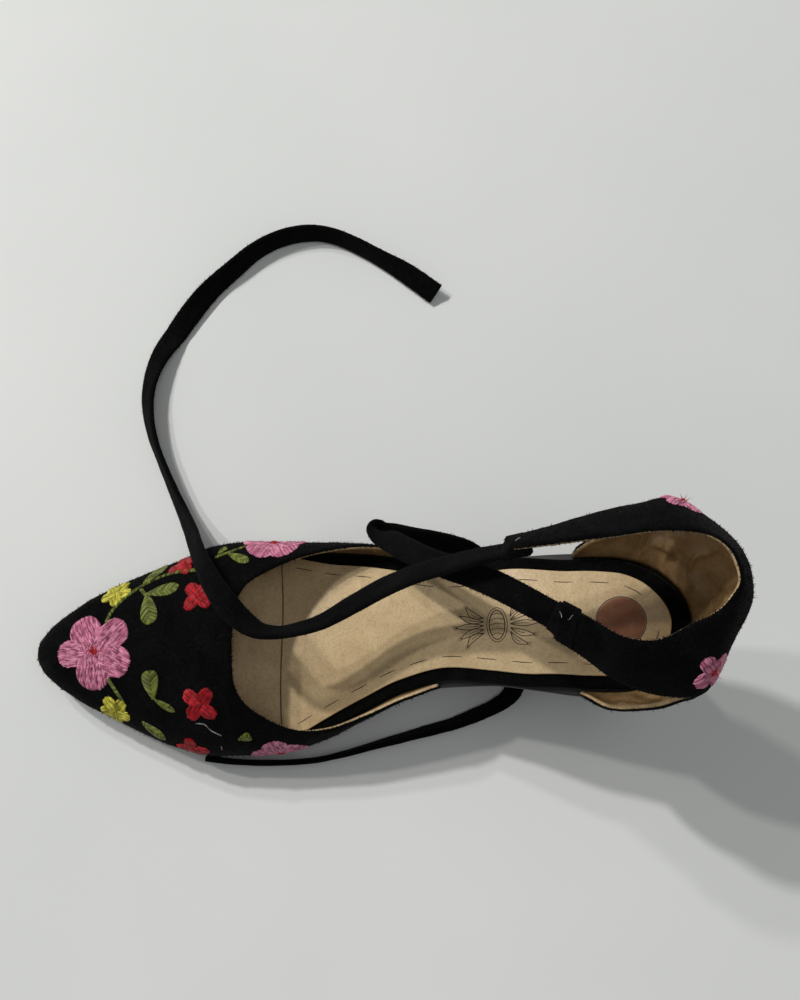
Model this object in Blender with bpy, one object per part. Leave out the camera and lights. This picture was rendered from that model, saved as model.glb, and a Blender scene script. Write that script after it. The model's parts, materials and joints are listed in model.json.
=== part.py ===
"""A right pointed suede heel with a closed toe, a closed counter, open sides and two ankle ties.

Toe towards -X, outer (lateral) side of the foot towards +Y, standing on Z = 0. Metres.
The shoe's axis, from toe tip to heel centre, is the X axis.
"""

import math

import bmesh
import bpy
import numpy as np
from mathutils import Vector

# Driving sizes, in metres
SHOE_LENGTH = 0.247
SOLE_LENGTH = 0.2368
BALL_WIDTH = 0.0792
SEAT_WIDTH = 0.0490
SEAT_HEIGHT = 0.0580
SEAT_SLOPE = 0.17
TOE_SPRING = 0.0065
TREAD_START = 0.058
TREAD_END = 0.088
SEAT_START = 0.195
COUNTER_HEIGHT = 0.050
INSTEP_HEIGHT = 0.0335
VAMP_BULGE = 0.0022
VAMP_WALL = 0.0018
COUNTER_WALL = 0.0018
TOE_LEAN = 0.0014
OUTSOLE_THICKNESS = 0.0030
OUTSOLE_CHAMFER = 0.0006
INSOLE_THICKNESS = 0.0030
SOCK_THICKNESS = 0.0010
SOCK_SIDE_RIM = 0.0040
SOCK_BACK_RIM = 0.0056
TOP_PIECE_THICKNESS = 0.0050
HEEL_BREAST = 0.196
HEEL_INSET = 0.0006
HEEL_TAPER = 0.16
TIE_WIDTH = 0.0087
TIE_THICKNESS = 0.0022
CLEARANCE = 0.0003

# Mesh density
SOLE_STATIONS = 44
VAMP_STATIONS = 26
VAMP_ARCH_STEPS = 28
FLAP_ROWS = 5
BAND_ROWS = 4
STEPS_BETWEEN_SECTIONS = 3
HEEL_STEPS = 16
HEEL_RINGS = 4

TOE_X = -SHOE_LENGTH / 2

# Half widths of the sole along its length: station as a share of SOLE_LENGTH, the outer (lateral)
# and inner (medial) half widths as shares of BALL_WIDTH in front and of SEAT_WIDTH in the heel.
FOREPART = (
    # station, lateral, medial
    (0.0, 0.0, 0.0),
    (0.022, 0.112, 0.118),
    (0.060, 0.192, 0.198),
    (0.112, 0.280, 0.282),
    (0.172, 0.358, 0.375),
    (0.231, 0.420, 0.452),
    (0.289, 0.486, 0.490),
    (0.335, 0.498, 0.492),
    (0.403, 0.486, 0.478),
    (0.470, 0.468, 0.420),
    (0.530, 0.440, 0.340),
    (0.590, 0.395, 0.265),
)
HEELPART = (
    # station, lateral, medial
    (0.650, 0.560, 0.372),
    (0.712, 0.520, 0.378),
    (0.780, 0.520, 0.430),
    (0.840, 0.515, 0.478),
    (0.895, 0.490, 0.490),
    (0.940, 0.420, 0.435),
    (0.975, 0.290, 0.310),
    (1.0, 0.0, 0.0),
)

# The vamp's topline: angle round the arch from the sole (0) to its crown (90), and where the vamp
# ends behind that angle on each side, as shares of SOLE_LENGTH.
TOPLINE = (
    # angle, medial, lateral
    (0, 0.640, 0.640),
    (10, 0.600, 0.600),
    (20, 0.535, 0.560),
    (30, 0.465, 0.500),
    (43, 0.403, 0.424),
    (55, 0.360, 0.372),
    (66, 0.336, 0.342),
    (78, 0.325, 0.328),
    (90, 0.324, 0.324),
)

# Height of the vamp's crown above the sole, as shares of INSTEP_HEIGHT.
CROWN = (
    # station, height
    (0.0, 0.0),
    (0.010, 0.20),
    (0.035, 0.36),
    (0.080, 0.50),
    (0.140, 0.62),
    (0.220, 0.81),
    (0.320, 1.0),
    (0.450, 1.04),
    (0.640, 1.05),
)

# Sections of the back part's upper band, from the tip of the inner wing round the heel to the tip of
# the outer wing: stations as shares of SOLE_LENGTH, sideways places as shares of SEAT_WIDTH, and
# heights above the seat as shares of COUNTER_HEIGHT. The fold is the band's lower line.
INNER_WING = (
    # fold station, fold side, fold height, collar station, collar side, collar height
    (0.784, -0.155, 0.71, 0.790, 0.045, 0.82),
    (0.815, -0.260, 0.68, 0.824, -0.075, 0.88),
    (0.855, -0.405, 0.66, 0.862, -0.190, 0.92),
    (0.905, -0.505, 0.64, 0.906, -0.215, 0.94),
)
BACK = (
    (0.962, -0.520, 0.64, 0.949, -0.125, 0.95),
    (0.990, -0.395, 0.66, 0.978, -0.065, 0.97),
    (1.017, -0.170, 0.68, 0.999, 0.025, 0.99),
    (1.0425, 0.090, 0.69, 1.013, 0.150, 1.00),
    (1.0365, 0.350, 0.68, 1.004, 0.330, 1.00),
    (1.003, 0.560, 0.66, 0.980, 0.440, 0.98),
    (0.952, 0.735, 0.64, 0.948, 0.480, 0.96),
)
OUTER_WING = (
    (0.905, 0.705, 0.64, 0.906, 0.490, 0.93),
    (0.860, 0.665, 0.64, 0.860, 0.472, 0.90),
    (0.795, 0.590, 0.63, 0.796, 0.450, 0.84),
    (0.728, 0.520, 0.60, 0.736, 0.436, 0.76),
)

# Free upper edge of the back part's lower flaps, from the sole up to where they join the band.
INNER_FLAP = (
    # seat place, edge station, edge side, edge height
    (-1.0, 0.838, -0.500, 0.03),
    (-0.90, 0.868, -0.585, 0.17),
    (-0.78, 0.915, -0.590, 0.38),
    (-0.66, 0.948, -0.550, 0.55),
)
OUTER_FLAP = (
    (0.66, 0.938, 0.735, 0.52),
    (0.78, 0.908, 0.690, 0.36),
    (0.90, 0.868, 0.610, 0.17),
    (1.0, 0.838, 0.535, 0.03),
)
BACK_SEAT_PLACES = (-0.52, -0.36, -0.18, 0.0, 0.18, 0.36, 0.52)

# Centre lines of the two ties in millimetres, from the wing tips to the free ends, with the tilt of
# the flat strip about its line in degrees (0 lies flat).
OUTER_TIE_ROUTE = (
    # x, y, z, tilt
    (54.8, 21.6, 93.4, 58),
    (50.8, 20.9, 92.7, 56),
    (41.1, 20.0, 88.6, 50),
    (31.1, 18.6, 82.0, 44),
    (20.7, 17.2, 73.0, 40),
    (9.7, 14.6, 62.0, 38),
    (-1.8, 10.0, 53.2, 42),
    (-13.5, 4.8, 47.8, 52),
    (-24.6, 2.4, 45.8, 60),
    (-30.8, 2.2, 45.4, 58),
    (-36.4, 3.6, 45.2, 46),
    (-43.4, 9.2, 44.4, 18),
    (-51.0, 18.8, 40.2, -18),
    (-57.6, 29.9, 32.8, -42),
    (-64.0, 42.4, 17.5, -46),
    (-68.8, 51.8, 8.0, -56),
    (-73.1, 60.9, 5.0, -66),
    (-79.1, 75.5, 4.8, -72),
    (-83.1, 87.2, 4.6, -66),
    (-84.9, 98.9, 4.2, -54),
    (-84.3, 108.7, 3.6, -42),
    (-81.0, 119.3, 1.4, -24),
    (-75.9, 128.1, 1.4, -4),
    (-68.5, 138.2, 1.4, 18),
    (-60.6, 147.4, 1.4, 40),
    (-50.1, 156.8, 1.4, 56),
    (-41.2, 164.2, 1.4, 64),
    (-30.9, 169.4, 1.4, 68),
    (-19.4, 171.4, 1.4, 70),
    (-9.4, 169.9, 1.4, 72),
    (0.5, 165.3, 1.4, 72),
    (11.8, 158.4, 1.4, 64),
    (21.7, 152.0, 1.4, 42),
    (32.9, 143.3, 1.4, 26),
)
INNER_TIE_ROUTE = (
    (66.8, -3.2, 95.4, -30),
    (61.6, 0.2, 94.8, -27),
    (54.6, 5.0, 91.8, -18),
    (46.5, 10.6, 85.9, -8),
    (39.0, 15.1, 80.0, 0),
    (32.0, 18.8, 73.5, 4),
    (25.5, 22.6, 66.0, 8),
    (19.0, 27.2, 57.5, 8),
    (13.0, 32.0, 49.5, 12),
    (8.6, 35.8, 43.0, 36),
    (6.8, 38.4, 38.8, 72),
    (8.8, 40.0, 36.4, 88),
    (14.0, 39.4, 35.2, 82),
    (20.5, 37.4, 34.4, 70),
    (27.5, 35.4, 32.6, 54),
    (34.5, 33.6, 28.4, 36),
    (41.5, 31.6, 21.4, 18),
    (47.0, 27.6, 13.5, 6),
    (50.0, 20.0, 6.5, 0),
    (52.2, 10.5, 2.2, 0),
    (54.8, 1.0, 1.4, 8),
    (57.0, -8.0, 1.4, 24),
    (57.8, -14.6, 1.4, 40),
    (55.8, -19.9, 1.4, 50),
    (50.6, -23.8, 1.4, 56),
    (42.1, -27.4, 1.4, 60),
    (32.0, -30.8, 1.4, 66),
    (19.4, -33.8, 1.4, 72),
    (6.7, -36.8, 1.4, 78),
    (-5.9, -39.9, 1.4, 84),
    (-18.5, -42.3, 1.4, 87),
    (-31.0, -43.0, 4.7, 88),
    (-43.5, -42.6, 4.7, 88),
    (-52.0, -41.9, 4.7, 88),
    (-60.0, -40.5, 4.7, 88),
)
TIE_STEPS = 2


def curve_through(keys, values, at):
    """Smooth monotone curve (Fritsch-Carlson) through a table's column."""
    keys = np.asarray(keys, float)
    values = np.asarray(values, float)
    span = np.diff(keys)
    slope = np.diff(values) / span
    tangent = np.zeros(len(keys))
    for i in range(1, len(keys) - 1):
        if slope[i - 1] * slope[i] > 0:
            left = 2 * span[i] + span[i - 1]
            right = span[i] + 2 * span[i - 1]
            tangent[i] = (left + right) / (left / slope[i - 1] + right / slope[i])
    tangent[0] = slope[0]
    tangent[-1] = slope[-1]
    at = np.clip(at, keys[0], keys[-1])
    i = np.clip(np.searchsorted(keys, at, side="right") - 1, 0, len(keys) - 2)
    u = (at - keys[i]) / span[i]
    rise = u * u * (3 - 2 * u)
    return (
        values[i] * (1 - rise)
        + values[i + 1] * rise
        + span[i] * (u - 2 * u * u + u**3) * tangent[i]
        + span[i] * (u**3 - u * u) * tangent[i + 1]
    )


def spline_through(points, steps):
    """Points on a centripetal curve through hand-chosen ones, `steps` to each stretch."""
    points = np.asarray(points, float)
    first = 2 * points[0] - points[1]
    last = 2 * points[-1] - points[-2]
    padded = np.vstack([first, points, last])
    out = []
    for i in range(1, len(padded) - 2):
        a, b, c, d = padded[i - 1 : i + 3]
        for k in range(steps):
            u = k / steps
            out.append(
                0.5
                * (
                    2 * b
                    + (c - a) * u
                    + (2 * a - 5 * b + 4 * c - d) * u * u
                    + (3 * b - a - 3 * c + d) * u**3
                )
            )
    out.append(points[-1])
    return np.array(out)


def angle_of(share):
    """The turn, 0 at the toe tip and pi at the heel's back, of a station along the sole."""
    return np.arccos(1 - 2 * np.clip(share, 0, 1))


def half_width(angle, side):
    """Half the sole's width at a turn; side is +1 for the outer and -1 for the inner side."""
    column = 1 if side > 0 else 2
    keys = [angle_of(row[0]) for row in FOREPART + HEELPART]
    widths = [row[column] * BALL_WIDTH for row in FOREPART]
    widths += [row[column] * SEAT_WIDTH for row in HEELPART]
    return curve_through(keys, widths, angle)


def station(angle):
    """Distance from the toe tip at a turn."""
    return SOLE_LENGTH * (1 - np.cos(angle)) / 2


def underside(along):
    """Height of the sole's underside above the floor, by distance from the toe tip."""
    along = np.asarray(along, float)
    spring = TOE_SPRING * np.clip(1 - along / TREAD_START, 0, None) ** 2
    seat_start_height = SEAT_HEIGHT - SEAT_SLOPE * (SOLE_LENGTH - SEAT_START)
    run = SEAT_START - TREAD_END
    u = np.clip((along - TREAD_END) / run, 0, 1)
    arch = seat_start_height * u * u * (3 - 2 * u) + SEAT_SLOPE * run * (u**3 - u * u)
    seat = SEAT_SLOPE * np.clip(along - SEAT_START, 0, None)
    return spring + arch + seat


def level(along, depth):
    """Height of the surface that lies `depth` above the sole's underside, measured square to it."""
    step = 0.0005
    slope = (underside(along + step) - underside(along - step)) / (2 * step)
    return underside(along) + depth * np.sqrt(1 + slope**2)


INSOLE_BOTTOM = OUTSOLE_THICKNESS + CLEARANCE
SOCK_BOTTOM = INSOLE_BOTTOM + INSOLE_THICKNESS + CLEARANCE
UPPER_BOTTOM = OUTSOLE_THICKNESS + CLEARANCE


def ease(value, start, end):
    """0 before start, 1 after end, and a smooth rise between."""
    u = np.clip((value - start) / (end - start), 0, 1)
    return u * u * (3 - 2 * u)


def upper_margin(share):
    """How far the insole stands back from the sole's edge: for the upper's wall where it is lasted."""
    vamp_end = TOPLINE[0][1]
    flap_start = INNER_FLAP[0][1]
    middle = (vamp_end + flap_start) / 2
    open_waist = ease(share, vamp_end + 0.006, middle) * (1 - ease(share, middle, flap_start - 0.008))
    wall = max(VAMP_WALL, COUNTER_WALL)
    under_toe = TOE_LEAN * (1 - ease(share, 0.0, 0.20))
    return CLEARANCE + (wall + CLEARANCE) * (1 - open_waist) + under_toe


def sock_edge(share):
    """How far the sock stands back: from the insole's edge by the suede rim that shows round it."""
    side = SOCK_SIDE_RIM * ease(share, 0.36, 0.50)
    back = (SOCK_BACK_RIM - SOCK_SIDE_RIM) * ease(share, 0.90, 1.0)
    return upper_margin(share) + CLEARANCE + side + back


def sole_edge(margin_at, count, side):
    """One side of the sole's outline drawn in by a margin: distances from the toe tip and widths."""
    angles = np.linspace(0, math.pi, count)
    along = station(angles)
    width = half_width(angles, side)
    run = np.gradient(along)
    spread = np.gradient(width)
    run[0] = run[-1] = 0
    length = np.hypot(run, spread)
    margin = margin_at(along / SOLE_LENGTH)
    drawn_along = along + margin * spread / length
    drawn_width = np.clip(width - margin * run / length, 0, None)
    drawn_width[0] = drawn_width[-1] = 0
    return drawn_along, drawn_width


def material(name, colour, roughness):
    made = bpy.data.materials.new(name)
    made.use_nodes = True
    shader = made.node_tree.nodes["Principled BSDF"]
    shader.inputs["Base Color"].default_value = (*colour, 1)
    shader.inputs["Roughness"].default_value = roughness
    shader.inputs["Metallic"].default_value = 0
    return made


def place(name, points, faces, finish, smooth=True):
    """Makes an object from points and faces, facing out."""
    mesh = bpy.data.meshes.new(name)
    mesh.from_pydata([tuple(p) for p in points], [], faces)
    work = bmesh.new()
    work.from_mesh(mesh)
    bmesh.ops.remove_doubles(work, verts=work.verts, dist=1e-6)
    bmesh.ops.recalc_face_normals(work, faces=work.faces)
    work.to_mesh(mesh)
    work.free()
    mesh.materials.append(finish)
    if smooth:
        mesh.shade_smooth()
        mesh.set_sharp_from_angle(angle=math.radians(40))
    made = bpy.data.objects.new(name, mesh)
    bpy.context.collection.objects.link(made)
    return made


def slab(name, margin_at, bottom, thickness, chamfer, finish):
    """A layer of the sole: how far it stands in from the edge, its underside's depth, its thickness."""
    rings = (
        # depth, drawn in
        (bottom, chamfer),
        (bottom + chamfer, 0.0),
        (bottom + thickness, 0.0),
    )
    loop = [(1, depth, inset) for depth, inset in rings]
    loop += [(-1, depth, inset) for depth, inset in reversed(rings)]
    columns = []
    for side, depth, inset in loop:
        along, width = sole_edge(lambda share: margin_at(share) + inset, SOLE_STATIONS, side)
        columns.append(np.column_stack([TOE_X + along, side * width, level(along, depth)]))
    ring_points = len(columns)
    points = [column[i] for i in range(SOLE_STATIONS) for column in columns]
    faces = []
    for i in range(SOLE_STATIONS - 1):
        for k in range(ring_points):
            a = i * ring_points + k
            b = i * ring_points + (k + 1) % ring_points
            faces.append((a, b, b + ring_points, a + ring_points))
    return place(name, points, faces, finish)


def shell(name, points, faces, wall, rest_on, finish):
    """A wall of even thickness behind an outer skin, open wherever the skin ends.

    rest_on holds the indices of the points on the lower rim, whose inner twins keep their height.
    """
    points = np.asarray(points, float)
    normals = np.zeros_like(points)
    for face in faces:
        corners = points[list(face)]
        turn = np.cross(corners[2] - corners[0], corners[-1] - corners[1])
        size = np.linalg.norm(turn)
        if size > 0:
            for corner in face:
                normals[corner] += turn / math.sqrt(size)
    for corner in rest_on:
        normals[corner][2] = 0
    normals /= np.maximum(np.linalg.norm(normals, axis=1), 1e-12)[:, None]
    inner = points - wall * normals
    count = len(points)
    all_faces = [tuple(face) for face in faces]
    all_faces += [tuple(corner + count for corner in reversed(face)) for face in faces]
    seen = {}
    for face in faces:
        for a, b in zip(face, face[1:] + face[:1]):
            seen[(a, b)] = True
    for a, b in seen:
        if (b, a) not in seen:
            all_faces.append((b, a, a + count, b + count))
    return place(name, np.vstack([points, inner]), all_faces, finish)


def vamp_point(angle, turn):
    """A point of the vamp's outer skin: turn goes from 0 on the inner side to pi on the outer."""
    side = -1 if turn < math.pi / 2 else 1
    lift = min(turn, math.pi - turn)
    along = float(station(angle))
    edge = float(half_width(angle, side))
    crown_keys = [angle_of(row[0]) for row in CROWN]
    crown = float(curve_through(crown_keys, [row[1] for row in CROWN], angle)) * INSTEP_HEIGHT
    swell = VAMP_BULGE * math.sin(min(lift * 3.4, math.pi)) * min(1, along / 0.02)
    reach = max(math.cos(lift), 0.0) ** 0.72 * edge + swell
    rise = math.sin(lift) ** 0.92 * crown
    return TOE_X + along, side * reach, float(level(along, UPPER_BOTTOM)) + rise


def topline(turn):
    """Where the vamp ends at a turn round the arch, as a share of the sole."""
    column = 1 if turn < math.pi / 2 else 2
    lift = math.degrees(min(turn, math.pi - turn))
    return float(curve_through([row[0] for row in TOPLINE], [row[column] for row in TOPLINE], lift))


def vamp(finish):
    turns = np.linspace(0, math.pi, VAMP_ARCH_STEPS + 1)
    points = [vamp_point(0.0, 0.0)]
    for turn in turns:
        last = float(angle_of(topline(turn)))
        for i in range(1, VAMP_STATIONS + 1):
            points.append(vamp_point(last * (i / VAMP_STATIONS), turn))
    faces = []
    for j in range(len(turns) - 1):
        row = 1 + j * VAMP_STATIONS
        following = row + VAMP_STATIONS
        faces.append((0, row, following))
        for i in range(VAMP_STATIONS - 1):
            faces.append((row + i, row + i + 1, following + i + 1, following + i))
    lower = [0] + list(range(1, 1 + VAMP_STATIONS))
    lower += list(range(1 + (len(turns) - 1) * VAMP_STATIONS, 1 + len(turns) * VAMP_STATIONS))
    return shell("vamp", points, faces, VAMP_WALL, lower, finish)


def seat_point(place_round):
    """The sole's edge under the counter: -1 on the inner side, 0 at the back, 1 on the outer."""
    start = float(angle_of(INNER_FLAP[0][1]))
    side = -1 if place_round < 0 else 1
    angle = math.pi - abs(place_round) * (math.pi - start)
    along = float(station(angle))
    return np.array(
        [TOE_X + along, side * float(half_width(angle, side)), float(level(along, UPPER_BOTTOM))]
    )


def counter_place(share, side, height):
    """A place on the counter from a table's shares."""
    seat_top = SEAT_HEIGHT + OUTSOLE_THICKNESS
    return (
        TOE_X + share * SOLE_LENGTH,
        side * SEAT_WIDTH,
        seat_top + height * COUNTER_HEIGHT,
    )


def counter(finish):
    band_rows = INNER_WING + BACK + OUTER_WING
    fold = spline_through([counter_place(*row[:3]) for row in band_rows], STEPS_BETWEEN_SECTIONS)
    collar = spline_through([counter_place(*row[3:]) for row in band_rows], STEPS_BETWEEN_SECTIONS)
    first = len(INNER_WING) * STEPS_BETWEEN_SECTIONS
    last = first + (len(BACK) - 1) * STEPS_BETWEEN_SECTIONS

    flap_rows = INNER_FLAP + BACK + OUTER_FLAP
    edges = [counter_place(*row[1:]) for row in INNER_FLAP]
    edges += [counter_place(*row[:3]) for row in BACK]
    edges += [counter_place(*row[1:]) for row in OUTER_FLAP]
    edge = spline_through(edges, STEPS_BETWEEN_SECTIONS)
    seat_places = [row[0] for row in INNER_FLAP] + list(BACK_SEAT_PLACES) + [row[0] for row in OUTER_FLAP]
    rounds = spline_through([(value,) for value in seat_places], STEPS_BETWEEN_SECTIONS)[:, 0]
    flap_first = len(INNER_FLAP) * STEPS_BETWEEN_SECTIONS
    shared = last - first
    points = []
    band = {}
    flap = {}
    for i in range(len(fold)):
        out = np.array([fold[i][0], fold[i][1], 0]) - np.array([collar[i][0], collar[i][1], 0])
        for k in range(BAND_ROWS):
            u = k / (BAND_ROWS - 1)
            point = fold[i] * (1 - u) + collar[i] * u + out * 0.35 * u * (1 - u)
            band[i, k] = len(points)
            points.append(point)
    for i in range(len(edge)):
        foot = seat_point(float(np.clip(rounds[i], -1, 1)))
        in_back = flap_first <= i <= flap_first + shared
        top = fold[i - flap_first + first] if in_back else edge[i]
        swell = np.array([top[0] - foot[0], top[1] - foot[1], 0])
        for k in range(FLAP_ROWS):
            if in_back and k == FLAP_ROWS - 1:
                flap[i, k] = band[i - flap_first + first, 0]
                continue
            u = k / (FLAP_ROWS - 1)
            flap[i, k] = len(points)
            points.append(foot * (1 - u) + top * u + swell * 0.5 * u * (1 - u))
    faces = []
    for i in range(len(fold) - 1):
        for k in range(BAND_ROWS - 1):
            faces.append((band[i, k], band[i + 1, k], band[i + 1, k + 1], band[i, k + 1]))
    for i in range(len(edge) - 1):
        for k in range(FLAP_ROWS - 1):
            faces.append((flap[i, k], flap[i + 1, k], flap[i + 1, k + 1], flap[i, k + 1]))
    lower = [flap[i, 0] for i in range(len(edge))]
    return shell("counter", points, faces, COUNTER_WALL, lower, finish)


def heel_outline(inset):
    """The D-shaped outline of the heel: the seat's round back and a straight breast."""
    start = float(angle_of(HEEL_BREAST / SOLE_LENGTH))
    outline = []
    for k in range(-HEEL_STEPS, HEEL_STEPS + 1):
        side = -1 if k < 0 else 1
        angle = math.pi - abs(k) / HEEL_STEPS * (math.pi - start)
        width = max(float(half_width(angle, side)) - inset * min(1, abs(k)), 0)
        outline.append((float(station(angle)) - inset, side * width))
    return outline


def heel_ring(drop):
    """The heel's outline at a share of its height below the seat."""
    centre = SOLE_LENGTH - SEAT_WIDTH * 0.46
    narrow = 1 - HEEL_TAPER * drop**0.8
    return [(centre + (along - centre) * narrow, y * narrow) for along, y in heel_outline(HEEL_INSET)]


def heel_block(finish):
    points = []
    faces = []
    count = 2 * HEEL_STEPS + 1
    for ring in range(HEEL_RINGS + 1):
        drop = ring / HEEL_RINGS
        for along, y in heel_ring(drop):
            top = float(underside(along)) - CLEARANCE
            low = TOP_PIECE_THICKNESS + CLEARANCE
            points.append((TOE_X + along, y, top * (1 - drop) + low * drop))
    for ring in range(HEEL_RINGS):
        for k in range(count):
            a = ring * count + k
            b = ring * count + (k + 1) % count
            faces.append((a, b, b + count, a + count))
    faces.append(tuple(range(count)))
    faces.append(tuple(range(HEEL_RINGS * count, (HEEL_RINGS + 1) * count)))
    return place("heel_block", points, faces, finish)


def heel_top_piece(finish):
    outline = heel_ring(1.0)
    count = len(outline)
    points = [(TOE_X + along, y, 0.0) for along, y in outline]
    points += [(TOE_X + along, y, TOP_PIECE_THICKNESS) for along, y in outline]
    faces = [(k, (k + 1) % count, (k + 1) % count + count, k + count) for k in range(count)]
    faces.append(tuple(range(count)))
    faces.append(tuple(range(count, 2 * count)))
    return place("heel_top_piece", points, faces, finish)


def tie(name, route, finish):
    """A flat strip swept along its centre line, turned about it by the route's tilt."""
    smooth = spline_through(route, TIE_STEPS)
    line = smooth[:, :3] / 1000
    tilt = np.radians(smooth[:, 3])
    half_depth = np.abs(np.sin(tilt)) * TIE_WIDTH / 2 + np.cos(tilt) * TIE_THICKNESS / 2
    line[:, 2] = np.maximum(line[:, 2], half_depth + CLEARANCE)
    points = []
    faces = []
    corners = ((1, 1), (1, -1), (-1, -1), (-1, 1))
    for i, centre in enumerate(line):
        ahead = Vector(line[min(i + 1, len(line) - 1)] - line[max(i - 1, 0)]).normalized()
        flat = Vector((0, 0, 1)).cross(ahead).normalized()
        up = ahead.cross(flat)
        across = flat * math.cos(tilt[i]) + up * math.sin(tilt[i])
        normal = ahead.cross(across)
        for side, face in corners:
            corner = across * (side * TIE_WIDTH / 2) + normal * (face * TIE_THICKNESS / 2)
            points.append(Vector(centre) + corner)
    last = 4 * (len(line) - 1)
    for start in range(0, last, 4):
        for k in range(4):
            faces.append((start + k, start + (k + 1) % 4, start + 4 + (k + 1) % 4, start + 4 + k))
    faces.append((0, 1, 2, 3))
    faces.append((last, last + 1, last + 2, last + 3))
    return place(name, points, faces, finish, smooth=False)


def main():
    for old in list(bpy.data.objects):
        bpy.data.objects.remove(old)
    suede = material("black_suede", (0.012, 0.012, 0.013), 0.9)
    rubber = material("black_rubber", (0.02, 0.02, 0.02), 0.6)
    lining = material("tan_lining", (0.50, 0.36, 0.21), 0.55)
    slab("outsole", lambda share: 0 * share, 0.0, OUTSOLE_THICKNESS, OUTSOLE_CHAMFER, rubber)
    slab("insole", upper_margin, INSOLE_BOTTOM, INSOLE_THICKNESS, OUTSOLE_CHAMFER, suede)
    slab("sock", sock_edge, SOCK_BOTTOM, SOCK_THICKNESS, SOCK_THICKNESS / 4, lining)
    vamp(suede)
    counter(suede)
    heel_block(suede)
    heel_top_piece(rubber)
    tie("tie_lateral", OUTER_TIE_ROUTE, suede)
    tie("tie_medial", INNER_TIE_ROUTE, suede)


main()
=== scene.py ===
"""Looks of the right-foot suede heel: skins, embroidery, ties, light and the photograph's camera."""

import json
import math
import random

import bmesh
import bpy
import numpy as np
from mathutils import Euler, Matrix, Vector, noise
from mathutils.bvhtree import BVHTree

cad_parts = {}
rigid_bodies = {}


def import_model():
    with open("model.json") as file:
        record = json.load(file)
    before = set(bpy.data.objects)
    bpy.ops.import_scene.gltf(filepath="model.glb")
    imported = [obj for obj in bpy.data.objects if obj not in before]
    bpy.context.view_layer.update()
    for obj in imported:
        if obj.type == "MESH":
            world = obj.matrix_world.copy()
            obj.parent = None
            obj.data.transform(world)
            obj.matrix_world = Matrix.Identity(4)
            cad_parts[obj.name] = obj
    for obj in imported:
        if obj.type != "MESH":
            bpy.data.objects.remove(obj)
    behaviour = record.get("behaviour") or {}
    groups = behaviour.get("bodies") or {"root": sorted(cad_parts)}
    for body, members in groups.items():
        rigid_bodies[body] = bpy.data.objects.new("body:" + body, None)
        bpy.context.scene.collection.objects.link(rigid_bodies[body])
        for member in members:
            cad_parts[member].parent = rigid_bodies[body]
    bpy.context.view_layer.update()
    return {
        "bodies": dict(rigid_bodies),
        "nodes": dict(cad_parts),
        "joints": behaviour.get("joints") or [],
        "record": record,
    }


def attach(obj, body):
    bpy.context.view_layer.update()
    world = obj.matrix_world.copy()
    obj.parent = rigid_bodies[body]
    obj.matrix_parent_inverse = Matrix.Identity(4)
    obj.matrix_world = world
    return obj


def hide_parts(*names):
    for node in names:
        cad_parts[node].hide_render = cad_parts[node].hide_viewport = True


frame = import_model()

# Driving sizes, in metres
SHOE_LENGTH = 0.247
SOLE_LENGTH = 0.2368
BALL_WIDTH = 0.0792
SEAT_WIDTH = 0.0490
SEAT_HEIGHT = 0.0580
SEAT_SLOPE = 0.17
TOE_SPRING = 0.0065
TREAD_START = 0.058
TREAD_END = 0.088
SEAT_START = 0.195
COUNTER_HEIGHT = 0.050
INSTEP_HEIGHT = 0.0335
VAMP_BULGE = 0.0022
VAMP_WALL = 0.0018
COUNTER_WALL = 0.0018
TOE_LEAN = 0.0014
OUTSOLE_THICKNESS = 0.0030
OUTSOLE_CHAMFER = 0.0006
INSOLE_THICKNESS = 0.0030
SOCK_THICKNESS = 0.0010
SOCK_SIDE_RIM = 0.0040
SOCK_BACK_RIM = 0.0056
TOP_PIECE_THICKNESS = 0.0050
HEEL_BREAST = 0.196
HEEL_INSET = 0.0006
HEEL_TAPER = 0.16
TIE_WIDTH = 0.0087
TIE_THICKNESS = 0.0022
CLEARANCE = 0.0003

TOE_X = -SHOE_LENGTH / 2

# Half widths of the sole along its length: station as a share of SOLE_LENGTH, the outer (lateral)
# and inner (medial) half widths as shares of BALL_WIDTH in front and of SEAT_WIDTH in the heel.
FOREPART = (
    # station, lateral, medial
    (0.0, 0.0, 0.0),
    (0.022, 0.112, 0.118),
    (0.060, 0.192, 0.198),
    (0.112, 0.280, 0.282),
    (0.172, 0.358, 0.375),
    (0.231, 0.420, 0.452),
    (0.289, 0.486, 0.490),
    (0.335, 0.498, 0.492),
    (0.403, 0.486, 0.478),
    (0.470, 0.468, 0.420),
    (0.530, 0.440, 0.340),
    (0.590, 0.395, 0.265),
)
HEELPART = (
    # station, lateral, medial
    (0.650, 0.560, 0.372),
    (0.712, 0.520, 0.378),
    (0.780, 0.520, 0.430),
    (0.840, 0.515, 0.478),
    (0.895, 0.490, 0.490),
    (0.940, 0.420, 0.435),
    (0.975, 0.290, 0.310),
    (1.0, 0.0, 0.0),
)

# The vamp's topline: angle round the arch from the sole (0) to its crown (90), and where the vamp
# ends behind that angle on each side, as shares of SOLE_LENGTH.
TOPLINE = (
    # angle, medial, lateral
    (0, 0.640, 0.640),
    (10, 0.600, 0.600),
    (20, 0.535, 0.560),
    (30, 0.465, 0.500),
    (43, 0.403, 0.424),
    (55, 0.360, 0.372),
    (66, 0.336, 0.342),
    (78, 0.325, 0.328),
    (90, 0.324, 0.324),
)

# Height of the vamp's crown above the sole, as shares of INSTEP_HEIGHT.
CROWN = (
    # station, height
    (0.0, 0.0),
    (0.010, 0.20),
    (0.035, 0.36),
    (0.080, 0.50),
    (0.140, 0.62),
    (0.220, 0.81),
    (0.320, 1.0),
    (0.450, 1.04),
    (0.640, 1.05),
)

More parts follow.
